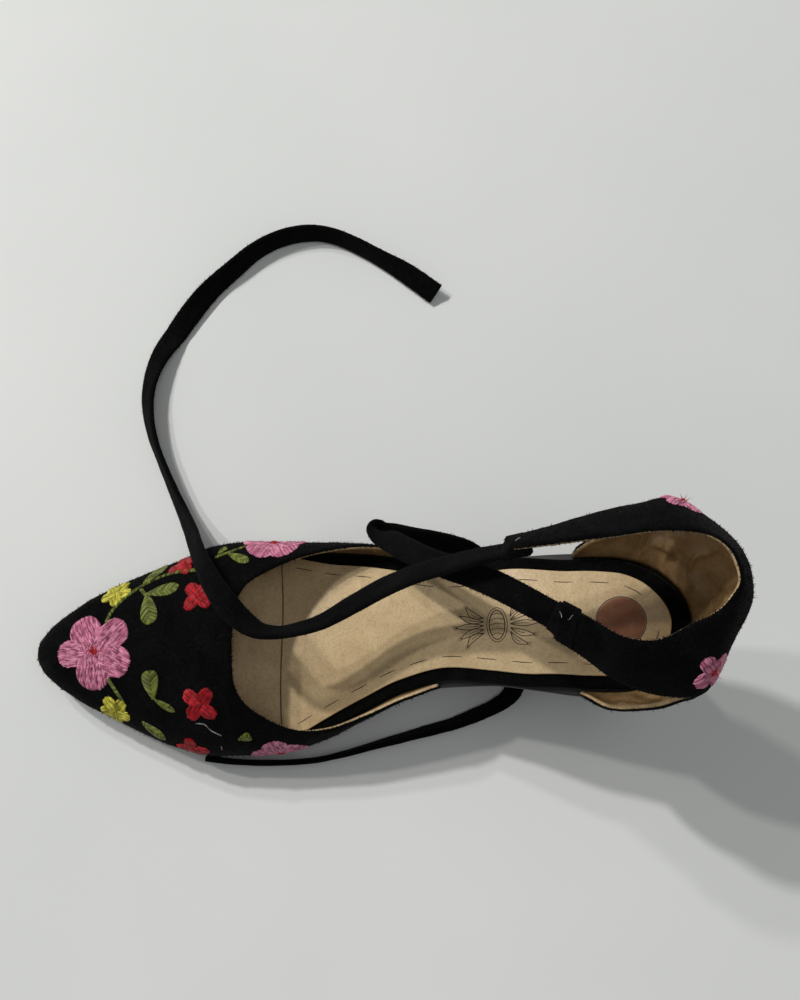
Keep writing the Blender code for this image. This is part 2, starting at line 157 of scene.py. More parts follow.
# Sections of the back part's upper band, from the tip of the inner wing round the heel to the tip of
# the outer wing: stations as shares of SOLE_LENGTH, sideways places as shares of SEAT_WIDTH, and
# heights above the seat as shares of COUNTER_HEIGHT. The fold is the band's lower line.
INNER_WING = (
    # fold station, fold side, fold height, collar station, collar side, collar height
    (0.784, -0.155, 0.71, 0.790, 0.045, 0.82),
    (0.815, -0.260, 0.68, 0.824, -0.075, 0.88),
    (0.855, -0.405, 0.66, 0.862, -0.190, 0.92),
    (0.905, -0.505, 0.64, 0.906, -0.215, 0.94),
)
BACK = (
    (0.962, -0.520, 0.64, 0.949, -0.125, 0.95),
    (0.990, -0.395, 0.66, 0.978, -0.065, 0.97),
    (1.017, -0.170, 0.68, 0.999, 0.025, 0.99),
    (1.0425, 0.090, 0.69, 1.013, 0.150, 1.00),
    (1.0365, 0.350, 0.68, 1.004, 0.330, 1.00),
    (1.003, 0.560, 0.66, 0.980, 0.440, 0.98),
    (0.952, 0.735, 0.64, 0.948, 0.480, 0.96),
)
OUTER_WING = (
    (0.905, 0.705, 0.64, 0.906, 0.490, 0.93),
    (0.860, 0.665, 0.64, 0.860, 0.472, 0.90),
    (0.795, 0.590, 0.63, 0.796, 0.450, 0.84),
    (0.728, 0.520, 0.60, 0.736, 0.436, 0.76),
)

# Free upper edge of the back part's lower flaps, from the sole up to where they join the band.
INNER_FLAP = (
    # seat place, edge station, edge side, edge height
    (-1.0, 0.838, -0.500, 0.03),
    (-0.90, 0.868, -0.585, 0.17),
    (-0.78, 0.915, -0.590, 0.38),
    (-0.66, 0.948, -0.550, 0.55),
)
OUTER_FLAP = (
    (0.66, 0.938, 0.735, 0.52),
    (0.78, 0.908, 0.690, 0.36),
    (0.90, 0.868, 0.610, 0.17),
    (1.0, 0.838, 0.535, 0.03),
)
BACK_SEAT_PLACES = (-0.52, -0.36, -0.18, 0.0, 0.18, 0.36, 0.52)

# Centre lines of the two ties in millimetres, from the wing tips to the free ends, with the tilt of
# the flat strip about its line in degrees (0 lies flat).
OUTER_TIE_ROUTE = (
    # x, y, z, tilt
    (54.8, 21.6, 93.4, 58),
    (50.8, 20.9, 92.7, 56),
    (41.1, 20.0, 88.6, 50),
    (31.1, 18.6, 82.0, 44),
    (20.7, 17.2, 73.0, 40),
    (9.7, 14.6, 62.0, 38),
    (-1.8, 10.0, 53.2, 42),
    (-13.5, 4.8, 47.8, 52),
    (-24.6, 2.4, 45.8, 60),
    (-30.8, 2.2, 45.4, 58),
    (-36.4, 3.6, 45.2, 46),
    (-43.4, 9.2, 44.4, 18),
    (-51.0, 18.8, 40.2, -18),
    (-57.6, 29.9, 32.8, -42),
    (-64.0, 42.4, 17.5, -46),
    (-68.8, 51.8, 8.0, -56),
    (-73.1, 60.9, 5.0, -66),
    (-79.1, 75.5, 4.8, -72),
    (-83.1, 87.2, 4.6, -66),
    (-84.9, 98.9, 4.2, -54),
    (-84.3, 108.7, 3.6, -42),
    (-81.0, 119.3, 1.4, -24),
    (-75.9, 128.1, 1.4, -4),
    (-68.5, 138.2, 1.4, 18),
    (-60.6, 147.4, 1.4, 40),
    (-50.1, 156.8, 1.4, 56),
    (-41.2, 164.2, 1.4, 64),
    (-30.9, 169.4, 1.4, 68),
    (-19.4, 171.4, 1.4, 70),
    (-9.4, 169.9, 1.4, 72),
    (0.5, 165.3, 1.4, 72),
    (11.8, 158.4, 1.4, 64),
    (21.7, 152.0, 1.4, 42),
    (32.9, 143.3, 1.4, 26),
)
INNER_TIE_ROUTE = (
    (66.8, -3.2, 95.4, -30),
    (61.6, 0.2, 94.8, -27),
    (54.6, 5.0, 91.8, -18),
    (46.5, 10.6, 85.9, -8),
    (39.0, 15.1, 80.0, 0),
    (32.0, 18.8, 73.5, 4),
    (25.5, 22.6, 66.0, 8),
    (19.0, 27.2, 57.5, 8),
    (13.0, 32.0, 49.5, 12),
    (8.6, 35.8, 43.0, 36),
    (6.8, 38.4, 38.8, 72),
    (8.8, 40.0, 36.4, 88),
    (14.0, 39.4, 35.2, 82),
    (20.5, 37.4, 34.4, 70),
    (27.5, 35.4, 32.6, 54),
    (34.5, 33.6, 28.4, 36),
    (41.5, 31.6, 21.4, 18),
    (47.0, 27.6, 13.5, 6),
    (50.0, 20.0, 6.5, 0),
    (52.2, 10.5, 2.2, 0),
    (54.8, 1.0, 1.4, 8),
    (57.0, -8.0, 1.4, 24),
    (57.8, -14.6, 1.4, 40),
    (55.8, -19.9, 1.4, 50),
    (50.6, -23.8, 1.4, 56),
    (42.1, -27.4, 1.4, 60),
    (32.0, -30.8, 1.4, 66),
    (19.4, -33.8, 1.4, 72),
    (6.7, -36.8, 1.4, 78),
    (-5.9, -39.9, 1.4, 84),
    (-18.5, -42.3, 1.4, 87),
    (-31.0, -43.0, 4.7, 88),
    (-43.5, -42.6, 4.7, 88),
    (-52.0, -41.9, 4.7, 88),
    (-60.0, -40.5, 4.7, 88),
)


def curve_through(keys, values, at):
    """Smooth monotone curve (Fritsch-Carlson) through a table's column."""
    keys = np.asarray(keys, float)
    values = np.asarray(values, float)
    span = np.diff(keys)
    slope = np.diff(values) / span
    tangent = np.zeros(len(keys))
    for i in range(1, len(keys) - 1):
        if slope[i - 1] * slope[i] > 0:
            left = 2 * span[i] + span[i - 1]
            right = span[i] + 2 * span[i - 1]
            tangent[i] = (left + right) / (left / slope[i - 1] + right / slope[i])
    tangent[0] = slope[0]
    tangent[-1] = slope[-1]
    at = np.clip(at, keys[0], keys[-1])
    i = np.clip(np.searchsorted(keys, at, side="right") - 1, 0, len(keys) - 2)
    u = (at - keys[i]) / span[i]
    rise = u * u * (3 - 2 * u)
    return (
        values[i] * (1 - rise)
        + values[i + 1] * rise
        + span[i] * (u - 2 * u * u + u**3) * tangent[i]
        + span[i] * (u**3 - u * u) * tangent[i + 1]
    )


def spline_through(points, steps):
    """Points on a centripetal curve through given ones, `steps` to each stretch."""
    points = np.asarray(points, float)
    first = 2 * points[0] - points[1]
    last = 2 * points[-1] - points[-2]
    padded = np.vstack([first, points, last])
    out = []
    for i in range(1, len(padded) - 2):
        a, b, c, d = padded[i - 1 : i + 3]
        for k in range(steps):
            u = k / steps
            out.append(
                0.5
                * (
                    2 * b
                    + (c - a) * u
                    + (2 * a - 5 * b + 4 * c - d) * u * u
                    + (3 * b - a - 3 * c + d) * u**3
                )
            )
    out.append(points[-1])
    return np.array(out)


def angle_of(share):
    """The turn, 0 at the toe tip and pi at the heel's back, of a station along the sole."""
    return np.arccos(1 - 2 * np.clip(share, 0, 1))


def half_width(angle, side):
    """Half the sole's width at a turn; side is +1 for the outer and -1 for the inner side."""
    column = 1 if side > 0 else 2
    keys = [angle_of(row[0]) for row in FOREPART + HEELPART]
    widths = [row[column] * BALL_WIDTH for row in FOREPART]
    widths += [row[column] * SEAT_WIDTH for row in HEELPART]
    return curve_through(keys, widths, angle)


def station(angle):
    """Distance from the toe tip at a turn."""
    return SOLE_LENGTH * (1 - np.cos(angle)) / 2


def underside(along):
    """Height of the sole's underside above the floor, by distance from the toe tip."""
    along = np.asarray(along, float)
    spring = TOE_SPRING * np.clip(1 - along / TREAD_START, 0, None) ** 2
    seat_start_height = SEAT_HEIGHT - SEAT_SLOPE * (SOLE_LENGTH - SEAT_START)
    run = SEAT_START - TREAD_END
    u = np.clip((along - TREAD_END) / run, 0, 1)
    arch = seat_start_height * u * u * (3 - 2 * u) + SEAT_SLOPE * run * (u**3 - u * u)
    seat = SEAT_SLOPE * np.clip(along - SEAT_START, 0, None)
    return spring + arch + seat


def level(along, depth):
    """Height of the surface that lies `depth` above the sole's underside, measured square to it."""
    step = 0.0005
    slope = (underside(along + step) - underside(along - step)) / (2 * step)
    return underside(along) + depth * np.sqrt(1 + slope**2)


INSOLE_BOTTOM = OUTSOLE_THICKNESS + CLEARANCE
SOCK_BOTTOM = INSOLE_BOTTOM + INSOLE_THICKNESS + CLEARANCE
UPPER_BOTTOM = OUTSOLE_THICKNESS + CLEARANCE


def ease(value, start, end):
    """0 before start, 1 after end, and a smooth rise between."""
    u = np.clip((value - start) / (end - start), 0, 1)
    return u * u * (3 - 2 * u)


def upper_margin(share):
    """How far the insole stands back from the sole's edge: for the upper's wall where it is lasted."""
    vamp_end = TOPLINE[0][1]
    flap_start = INNER_FLAP[0][1]
    middle = (vamp_end + flap_start) / 2
    open_waist = ease(share, vamp_end + 0.006, middle) * (1 - ease(share, middle, flap_start - 0.008))
    wall = max(VAMP_WALL, COUNTER_WALL)
    under_toe = TOE_LEAN * (1 - ease(share, 0.0, 0.20))
    return CLEARANCE + (wall + CLEARANCE) * (1 - open_waist) + under_toe


def sock_edge(share):
    """How far the sock stands back: from the insole's edge by the suede rim that shows round it."""
    side = SOCK_SIDE_RIM * ease(share, 0.36, 0.50)
    back = (SOCK_BACK_RIM - SOCK_SIDE_RIM) * ease(share, 0.90, 1.0)
    return upper_margin(share) + CLEARANCE + side + back


def sole_edge(margin_at, count, side):
    """One side of the sole's outline drawn in by a margin: distances from the toe tip and widths."""
    angles = np.linspace(0, math.pi, count)
    along = station(angles)
    width = half_width(angles, side)
    run = np.gradient(along)
    spread = np.gradient(width)
    run[0] = run[-1] = 0
    length = np.hypot(run, spread)
    margin = margin_at(along / SOLE_LENGTH)
    drawn_along = along + margin * spread / length
    drawn_width = np.clip(width - margin * run / length, 0, None)
    drawn_width[0] = drawn_width[-1] = 0
    return drawn_along, drawn_width


# Finer mesh for what is seen
SOLE_STATIONS = 220
VAMP_STATIONS = 130
VAMP_ARCH_STEPS = 140
FLAP_ROWS = 18
BAND_ROWS = 12
STEPS_BETWEEN_SECTIONS = 14
TIE_STEPS = 24
HEEL_STEPS = 16
RIM_STEPS = 4

# The photograph's camera: straight down from above the shoe's inner side, rolled to the shoe's axis
CAMERA_PLACE = (0.01830, -0.03610, 0.440)
CAMERA_ROLL = math.radians(-1.75)
FOCAL_PIXELS = 939.3
PICTURE = (800, 1000)
SENSOR_MM = 36.0
FRAME_CENTRE = (388, 300)
FRAME_ZOOM = 1.2

RANDOM = random.Random(7)


def wobble(point, scale, seed=0.0):
    """Smooth noise from -1 to 1, features about `scale` metres across."""
    return noise.noise(Vector(point) / scale + Vector((seed, seed * 1.7, -seed)))


def new_mesh(name, points, faces, materials, slots=None):
    """An object from points and faces, smooth shaded, with a material index for each face."""
    mesh = bpy.data.meshes.new(name)
    mesh.from_pydata([tuple(p) for p in points], [], faces)
    for finish in materials:
        mesh.materials.append(finish)
    if slots is not None:
        mesh.polygons.foreach_set("material_index", slots)
    mesh.shade_smooth()
    mesh.update()
    made = bpy.data.objects.new(name, mesh)
    bpy.context.collection.objects.link(made)
    return made


def face_out(made):
    """Makes the faces of a closed mesh point out."""
    work = bmesh.new()
    work.from_mesh(made.data)
    bmesh.ops.recalc_face_normals(work, faces=work.faces)
    work.to_mesh(made.data)
    work.free()


def srgb(red, green, blue):
    """A colour from 0 to 255 a channel, as a linear one."""
    return tuple(((c / 255 + 0.055) / 1.055) ** 2.4 if c > 10 else c / 255 / 12.92 for c in (red, green, blue))


class Nodes:
    """Short ways to write a material's node tree."""

    def __init__(self, name):
        self.material = bpy.data.materials.new(name)
        self.material.use_nodes = True
        self.tree = self.material.node_tree
        self.shader = self.tree.nodes["Principled BSDF"]
        coordinates = self.tree.nodes.new("ShaderNodeTexCoord")
        self.place = coordinates.outputs["Object"]

    def set(self, **values):
        for key, value in values.items():
            self.shader.inputs[key.replace("_", " ")].default_value = value

    def link(self, source, target):
        self.tree.links.new(source, target)

    def scaled(self, scale, turn=(0, 0, 0)):
        node = self.tree.nodes.new("ShaderNodeMapping")
        node.inputs["Scale"].default_value = scale
        node.inputs["Rotation"].default_value = turn
        self.link(self.place, node.inputs["Vector"])
        return node.outputs["Vector"]

    def noise(self, size, detail=3.0, roughness=0.55, stretch=(1, 1, 1), distortion=0.0):
        """Noise with features about `size` metres across."""
        node = self.tree.nodes.new("ShaderNodeTexNoise")
        node.inputs["Scale"].default_value = 1.0
        node.inputs["Detail"].default_value = detail
        node.inputs["Roughness"].default_value = roughness
        node.inputs["Distortion"].default_value = distortion
        self.link(self.scaled(tuple(s / size for s in stretch)), node.inputs["Vector"])
        return node.outputs["Fac"]

    def ramp(self, value, stops):
        """A colour ramp: stops are (place, colour)."""
        node = self.tree.nodes.new("ShaderNodeValToRGB")
        elements = node.color_ramp.elements
        while len(elements) < len(stops):
            elements.new(0.5)
        for element, (at, colour) in zip(elements, stops):
            element.position = at
            element.color = (*colour, 1)
        self.link(value, node.inputs["Fac"])
        return node.outputs["Color"]

    def range(self, value, low, high, to_low, to_high):
        node = self.tree.nodes.new("ShaderNodeMapRange")
        for key, number in (("From Min", low), ("From Max", high), ("To Min", to_low), ("To Max", to_high)):
            node.inputs[key].default_value = number
        self.link(value, node.inputs["Value"])
        return node.outputs["Result"]

    def mix(self, first, second, factor, mode="MIX"):
        node = self.tree.nodes.new("ShaderNodeMix")
        node.data_type = "RGBA"
        node.blend_type = mode
        inputs = [s for s in node.inputs if s.type == "RGBA"]
        if isinstance(factor, float):
            node.inputs[0].default_value = factor
        else:
            self.link(factor, node.inputs[0])
        for socket, value in zip(inputs, (first, second)):
            if isinstance(value, tuple):
                socket.default_value = (*value, 1)
            else:
                self.link(value, socket)
        return [s for s in node.outputs if s.type == "RGBA"][0]

    def stitch_tone(self):
        """A number of its own for each separate thread of a mesh."""
        return self.tree.nodes.new("ShaderNodeNewGeometry").outputs["Random Per Island"]

    def bump(self, height, distance, strength=1.0, onto=None):
        node = self.tree.nodes.new("ShaderNodeBump")
        node.inputs["Distance"].default_value = distance
        node.inputs["Strength"].default_value = strength
        self.link(height, node.inputs["Height"])
        if onto is not None:
            self.link(onto, node.inputs["Normal"])
        return node.outputs["Normal"]


def suede(name, dark=(0.0010, 0.0011, 0.0011), light=(0.0036, 0.0038, 0.0038)):
    """Black suede: brushed patches of nap, a fine fibre bump and a soft sheen."""
    made = Nodes(name)
    made.set(Roughness=0.95, Sheen_Weight=0.016, Sheen_Roughness=0.45)
    made.shader.inputs["Specular IOR Level"].default_value = 0.06
    made.shader.inputs["Sheen Tint"].default_value = (0.9, 0.9, 0.9, 1)
    patches = made.noise(0.014, detail=5.0, roughness=0.65, distortion=1.2)
    brushed = made.ramp(patches, ((0.36, dark), (0.64, light)))
    fibre = made.noise(0.00075, detail=3.0, roughness=0.75)
    speckle = made.ramp(fibre, ((0.42, (0.35, 0.35, 0.35)), (0.62, (1.1, 1.1, 1.1)), (0.74, (3.2, 3.2, 3.3))))
    made.link(made.mix(brushed, speckle, 1.0, "MULTIPLY"), made.shader.inputs["Base Color"])
    coarse = made.bump(made.noise(0.0026, detail=4.0), 0.0006, 0.6)
    made.link(made.bump(fibre, 0.00035, 0.9, coarse), made.shader.inputs["Normal"])
    return made.material


def lining(name, dark, light, gloss=0.5, creases=0.35, specks=0.86):
    """Smooth tan lining: soft mottling, rub marks, fine pores and slack creases."""
    made = Nodes(name)
    made.set(Roughness=gloss)
    made.shader.inputs["Specular IOR Level"].default_value = 0.40
    soft = made.noise(0.016, detail=6.0, roughness=0.68, distortion=0.9)
    base = made.ramp(soft, ((0.32, dark), (0.68, light)))
    pores = made.noise(0.0008, detail=3.0, roughness=0.65)
    marks = made.ramp(pores, ((0.34, (specks, specks * 0.98, specks * 0.95)), (0.56, (1.0, 1.0, 1.0))))
    made.link(made.mix(base, marks, 1.0, "MULTIPLY"), made.shader.inputs["Base Color"])
    grain = made.bump(pores, 0.00008, 0.5)
    slack = made.noise(0.011, detail=3.0, roughness=0.5, stretch=(1.0, 0.45, 0.6), distortion=0.5)
    made.link(made.bump(slack, 0.0040 * creases, 1.0, grain), made.shader.inputs["Normal"])
    rough = made.range(made.noise(0.010, detail=4.0), 0.3, 0.7, gloss - 0.14, gloss + 0.12)
    made.link(rough, made.shader.inputs["Roughness"])
    return made.material


def rubber(name, colour):
    made = Nodes(name)
    made.set(Roughness=0.6)
    made.shader.inputs["Specular IOR Level"].default_value = 0.4
    tone = made.noise(0.008, detail=4.0)
    light = tuple(c * 1.9 for c in colour)
    made.link(made.ramp(tone, ((0.35, colour), (0.75, light))), made.shader.inputs["Base Color"])
    made.link(made.bump(made.noise(0.0007, detail=2.0), 0.00008, 0.6), made.shader.inputs["Normal"])
    return made.material


def thread(name, dark, colour, light, gloss=0.45):
    """Rayon thread with a soft shine, each stitch of a slightly different tone."""
    made = Nodes(name)
    made.set(Roughness=gloss, Sheen_Weight=0.02)
    made.shader.inputs["Specular IOR Level"].default_value = 0.25
    own = made.ramp(made.stitch_tone(), ((0.0, dark), (0.45, colour), (1.0, light)))
    fade = made.noise(0.0035, detail=3.0)
    worn = made.ramp(fade, ((0.35, (0.82, 0.82, 0.82)), (0.6, (1.0, 1.0, 1.0))))
    made.link(made.mix(own, worn, 1.0, "MULTIPLY"), made.shader.inputs["Base Color"])
    made.link(made.bump(made.noise(0.00022, detail=1.0), 0.00005, 0.6), made.shader.inputs["Normal"])
    return made.material


SUEDE = suede("black_suede")
NAP = suede("suede_nap", (0.0020, 0.0021, 0.0021), (0.0070, 0.0072, 0.0072))
# The lining's tan is darkened as painted shade, standing in for the shade that falls inside the shoe; its mottling,
# pores and creases are its own.
LINING_WITH_PAINTED_SHADE = lining("tan_lining", srgb(120, 92, 58), srgb(164, 134, 94), 0.32, creases=0.55)
SOCK_LEATHER = lining("sock_leather", srgb(178, 153, 114), srgb(200, 176, 136), 0.52, creases=0.12, specks=0.80)
EDGE = lining("lining_edge", srgb(146, 122, 88), srgb(190, 166, 128), 0.7)
OUTSOLE_RUBBER = rubber("outsole_black", (0.008, 0.008, 0.008))
TOP_PIECE_RUBBER = rubber("top_piece_black", (0.014, 0.014, 0.014))
DISC = lining("brown_disc", srgb(112, 64, 36), srgb(142, 92, 58), 0.5, creases=0.08)
PRINT = rubber("brown_print", (0.030, 0.017, 0.009))
STITCH = rubber("dark_stitch", (0.012, 0.008, 0.006))
SEAM = rubber("seam_shadow", (0.080, 0.050, 0.028))
PINK = thread("pink_thread", srgb(122, 56, 80), srgb(190, 106, 136), srgb(226, 158, 182))
RED = thread("red_thread", srgb(96, 3, 12), srgb(146, 8, 20), srgb(188, 18, 34))
YELLOW = thread("yellow_thread", srgb(104, 98, 20), srgb(170, 162, 44), srgb(222, 216, 92))
GREEN = thread("green_thread", srgb(40, 44, 12), srgb(82, 90, 28), srgb(132, 138, 58))
LINT = thread("pale_lint", srgb(96, 98, 98), srgb(132, 134, 134), srgb(170, 172, 172), 0.8)


def fine_shell(name, points, faces, wall, rest_on, materials, ripple=None, slack=None):
    """A wall behind an outer skin, with a rounded rim wherever the skin ends.

    rest_on holds the points of the lower rim, which stays flat on the sole. ripple moves a point of
    the skin along its normal, and slack the depth of the lining's folds.
    """
    points = np.asarray(points, float)
    normals = np.zeros_like(points)
    for face in faces:
        corners = points[list(face)]
        turn = np.cross(corners[2] - corners[0], corners[-1] - corners[1])
        size = np.linalg.norm(turn)
        if size > 0:
            for corner in face:
                normals[corner] += turn / math.sqrt(size)
    resting = set(rest_on)
    for corner in rest_on:
        normals[corner][2] = 0
    normals /= np.maximum(np.linalg.norm(normals, axis=1), 1e-12)[:, None]
    count = len(points)
    directed = set()
    for face in faces:
        for a, b in zip(face, face[1:] + face[:1]):
            directed.add((a, b))
    rim_edges = [(a, b) for a, b in directed if (b, a) not in directed]
    outward = {}
    for a, b in rim_edges:
        run = points[b] - points[a]
        for corner in (a, b):
            out = np.cross(run, normals[corner])
            outward[corner] = outward.get(corner, 0) + out / max(np.linalg.norm(out), 1e-12)
    outer = points.copy()
    if ripple is not None:
        for i in range(count):
            if i not in resting:
                outer[i] += normals[i] * ripple(points[i])
    inner = points - wall * normals
    if slack is not None:
        for i in range(count):
            if i not in outward:
                inner[i] -= normals[i] * slack(points[i])
    all_points = list(outer) + list(inner)
    all_faces = [tuple(face) for face in faces]
    slots = [0] * len(faces)
    all_faces += [tuple(corner + count for corner in reversed(face)) for face in faces]
    slots += [1] * len(faces)
    rows = {}
    for corner, out in outward.items():
        chain = [corner]
        out = out / max(np.linalg.norm(out), 1e-12)
        for k in range(1, RIM_STEPS):
            u = k / RIM_STEPS
            place = outer[corner] * (1 - u) + (points[corner] - wall * normals[corner]) * u
            if corner not in resting:
                place = place + out * wall * 0.42 * math.sin(math.pi * u)
            chain.append(len(all_points))
            all_points.append(place)
        chain.append(corner + count)
        rows[corner] = chain
    for a, b in rim_edges:
        for k in range(RIM_STEPS):
            all_faces.append((rows[b][k], rows[a][k], rows[a][k + 1], rows[b][k + 1]))
            slots.append(0 if k < 2 else 2)
    made = new_mesh(name, all_points, all_faces, materials, slots)
    return made


def vamp_point(angle, turn):
    """A point of the vamp's outer skin: turn goes from 0 on the inner side to pi on the outer."""
    side = -1 if turn < math.pi / 2 else 1
    lift = min(turn, math.pi - turn)
    along = float(station(angle))
    edge = float(half_width(angle, side))
    crown_keys = [angle_of(row[0]) for row in CROWN]
    crown = float(curve_through(crown_keys, [row[1] for row in CROWN], angle)) * INSTEP_HEIGHT
    swell = VAMP_BULGE * math.sin(min(lift * 3.4, math.pi)) * min(1, along / 0.02)
    reach = max(math.cos(lift), 0.0) ** 0.72 * edge + swell
    rise = math.sin(lift) ** 0.92 * crown
    return TOE_X + along, side * reach, float(level(along, UPPER_BOTTOM)) + rise


def topline(turn):
    """Where the vamp ends at a turn round the arch, as a share of the sole."""
    column = 1 if turn < math.pi / 2 else 2
    lift = math.degrees(min(turn, math.pi - turn))
    return float(curve_through([row[0] for row in TOPLINE], [row[column] for row in TOPLINE], lift))


def vamp_ripple(point):
    """Small waves of the suede over its lining."""
    return 0.00022 * wobble(point, 0.012, 3.0) + 0.00010 * wobble(point, 0.004, 5.0)


def vamp():
    turns = np.linspace(0, math.pi, VAMP_ARCH_STEPS + 1)
    points = [vamp_point(0.0, 0.0)]
    for turn in turns:
        last = float(angle_of(topline(turn)))
        for i in range(1, VAMP_STATIONS + 1):
            points.append(vamp_point(last * (i / VAMP_STATIONS), turn))
    faces = []
    for j in range(len(turns) - 1):
        row = 1 + j * VAMP_STATIONS
        following = row + VAMP_STATIONS
        faces.append((0, row, following))
        for i in range(VAMP_STATIONS - 1):
            faces.append((row + i, row + i + 1, following + i + 1, following + i))
    lower = [0] + list(range(1, 1 + VAMP_STATIONS))
    lower += list(range(1 + (len(turns) - 1) * VAMP_STATIONS, 1 + len(turns) * VAMP_STATIONS))
    made = fine_shell(
        "vamp_skin", points, faces, VAMP_WALL, lower, (SUEDE, LINING_WITH_PAINTED_SHADE, EDGE), vamp_ripple
    )
    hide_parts("vamp")
    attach(made, "root")
    return made


def seat_point(place_round):
    """The sole's edge under the counter: -1 on the inner side, 0 at the back, 1 on the outer."""
    start = float(angle_of(INNER_FLAP[0][1]))
    side = -1 if place_round < 0 else 1
    angle = math.pi - abs(place_round) * (math.pi - start)
    along = float(station(angle))
    return np.array(
        [TOE_X + along, side * float(half_width(angle, side)), float(level(along, UPPER_BOTTOM))]
    )


def counter_place(share, side, height):
    """A place on the counter from a table's shares."""
    seat_top = SEAT_HEIGHT + OUTSOLE_THICKNESS
    return (
        TOE_X + share * SOLE_LENGTH,
        side * SEAT_WIDTH,
        seat_top + height * COUNTER_HEIGHT,
    )


def counter_ripple(point):
    """Slack leather: shallow dents and waves."""
    return 0.0005 * wobble(point, 0.016, 9.0) + 0.00012 * wobble(point, 0.004, 2.0)


def lining_folds(point):
    """Upright folds where the loose lining has come away from the suede."""
    squeezed = Vector((point[0], point[1], point[2] * 0.30))
    crease = max(0.0, 1 - 6 * abs(wobble(squeezed, 0.0095, 21.0))) ** 1.5
    pouch = max(0.0, 0.10 + wobble(squeezed, 0.0120, 25.0))
    depth = 0.0013 * crease + 0.0030 * pouch
    return depth * ease(point[2], INSOLE_BOTTOM + 0.060, INSOLE_BOTTOM + 0.070)


def counter():
    band_rows = INNER_WING + BACK + OUTER_WING
    fold = spline_through([counter_place(*row[:3]) for row in band_rows], STEPS_BETWEEN_SECTIONS)
    collar = spline_through([counter_place(*row[3:]) for row in band_rows], STEPS_BETWEEN_SECTIONS)
    first = len(INNER_WING) * STEPS_BETWEEN_SECTIONS
    last = first + (len(BACK) - 1) * STEPS_BETWEEN_SECTIONS
    edges = [counter_place(*row[1:]) for row in INNER_FLAP]
    edges += [counter_place(*row[:3]) for row in BACK]
    edges += [counter_place(*row[1:]) for row in OUTER_FLAP]
    edge = spline_through(edges, STEPS_BETWEEN_SECTIONS)
    seat_places = [row[0] for row in INNER_FLAP] + list(BACK_SEAT_PLACES) + [row[0] for row in OUTER_FLAP]
    rounds = spline_through([(value,) for value in seat_places], STEPS_BETWEEN_SECTIONS)[:, 0]
    flap_first = len(INNER_FLAP) * STEPS_BETWEEN_SECTIONS
    shared = last - first
    points = []
    band = {}
    flap = {}
    for i in range(len(fold)):
        out = np.array([fold[i][0], fold[i][1], 0]) - np.array([collar[i][0], collar[i][1], 0])
        for k in range(BAND_ROWS):
            u = k / (BAND_ROWS - 1)
            point = fold[i] * (1 - u) + collar[i] * u + out * 0.35 * u * (1 - u)
            band[i, k] = len(points)
            points.append(point)
    for i in range(len(edge)):
        foot = seat_point(float(np.clip(rounds[i], -1, 1)))
        in_back = flap_first <= i <= flap_first + shared
        top = fold[i - flap_first + first] if in_back else edge[i]
        swell = np.array([top[0] - foot[0], top[1] - foot[1], 0])
        for k in range(FLAP_ROWS):
            if in_back and k == FLAP_ROWS - 1:
                flap[i, k] = band[i - flap_first + first, 0]
                continue
            u = k / (FLAP_ROWS - 1)
            flap[i, k] = len(points)
            points.append(foot * (1 - u) + top * u + swell * 0.5 * u * (1 - u))
    faces = []
    for i in range(len(fold) - 1):
        for k in range(BAND_ROWS - 1):
            faces.append((band[i, k], band[i + 1, k], band[i + 1, k + 1], band[i, k + 1]))
    for i in range(len(edge) - 1):
        for k in range(FLAP_ROWS - 1):
            faces.append((flap[i, k], flap[i + 1, k], flap[i + 1, k + 1], flap[i, k + 1]))
    lower = [flap[i, 0] for i in range(len(edge))]
    made = fine_shell(
        "counter_skin", points, faces, COUNTER_WALL, lower, (SUEDE, LINING_WITH_PAINTED_SHADE, EDGE), counter_ripple, lining_folds
    )
    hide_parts("counter")
    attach(made, "root")
    return made, fold, collar


def slab(name, margin_at, bottom, thickness, rounding, finish, node):
    """A layer of the sole with rounded edges: how far it stands in from the edge and where it lies."""
    rings = []
    for k in range(4):
        turn = math.pi / 2 * k / 3
        rings.append((bottom + rounding * (1 - math.sin(turn)), rounding * (1 - math.cos(turn))))
    rings = rings[::-1]
    for k in range(4):
        turn = math.pi / 2 * k / 3
        rings.append((bottom + thickness - rounding * (1 - math.sin(turn)), rounding * (1 - math.cos(turn))))
    loop = [(1, depth, inset) for depth, inset in rings]
    loop += [(-1, depth, inset) for depth, inset in reversed(rings)]
    columns = []
    for side, depth, inset in loop:
        along, width = sole_edge(lambda share: margin_at(share) + inset, SOLE_STATIONS, side)
        columns.append(np.column_stack([TOE_X + along, side * width, level(along, depth)]))
    ring_points = len(columns)
    points = [column[i] for i in range(SOLE_STATIONS) for column in columns]
    faces = []
    for i in range(SOLE_STATIONS - 1):
        for k in range(ring_points):
            a = i * ring_points + k
            b = i * ring_points + (k + 1) % ring_points
            faces.append((a, b, b + ring_points, a + ring_points))
    made = new_mesh(name, points, faces, [finish])
    work = bmesh.new()
    work.from_mesh(made.data)
    bmesh.ops.remove_doubles(work, verts=work.verts, dist=2e-6)
    bmesh.ops.recalc_face_normals(work, faces=work.faces)
    work.to_mesh(made.data)
    work.free()
    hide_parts(node)
    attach(made, "root")
    return made


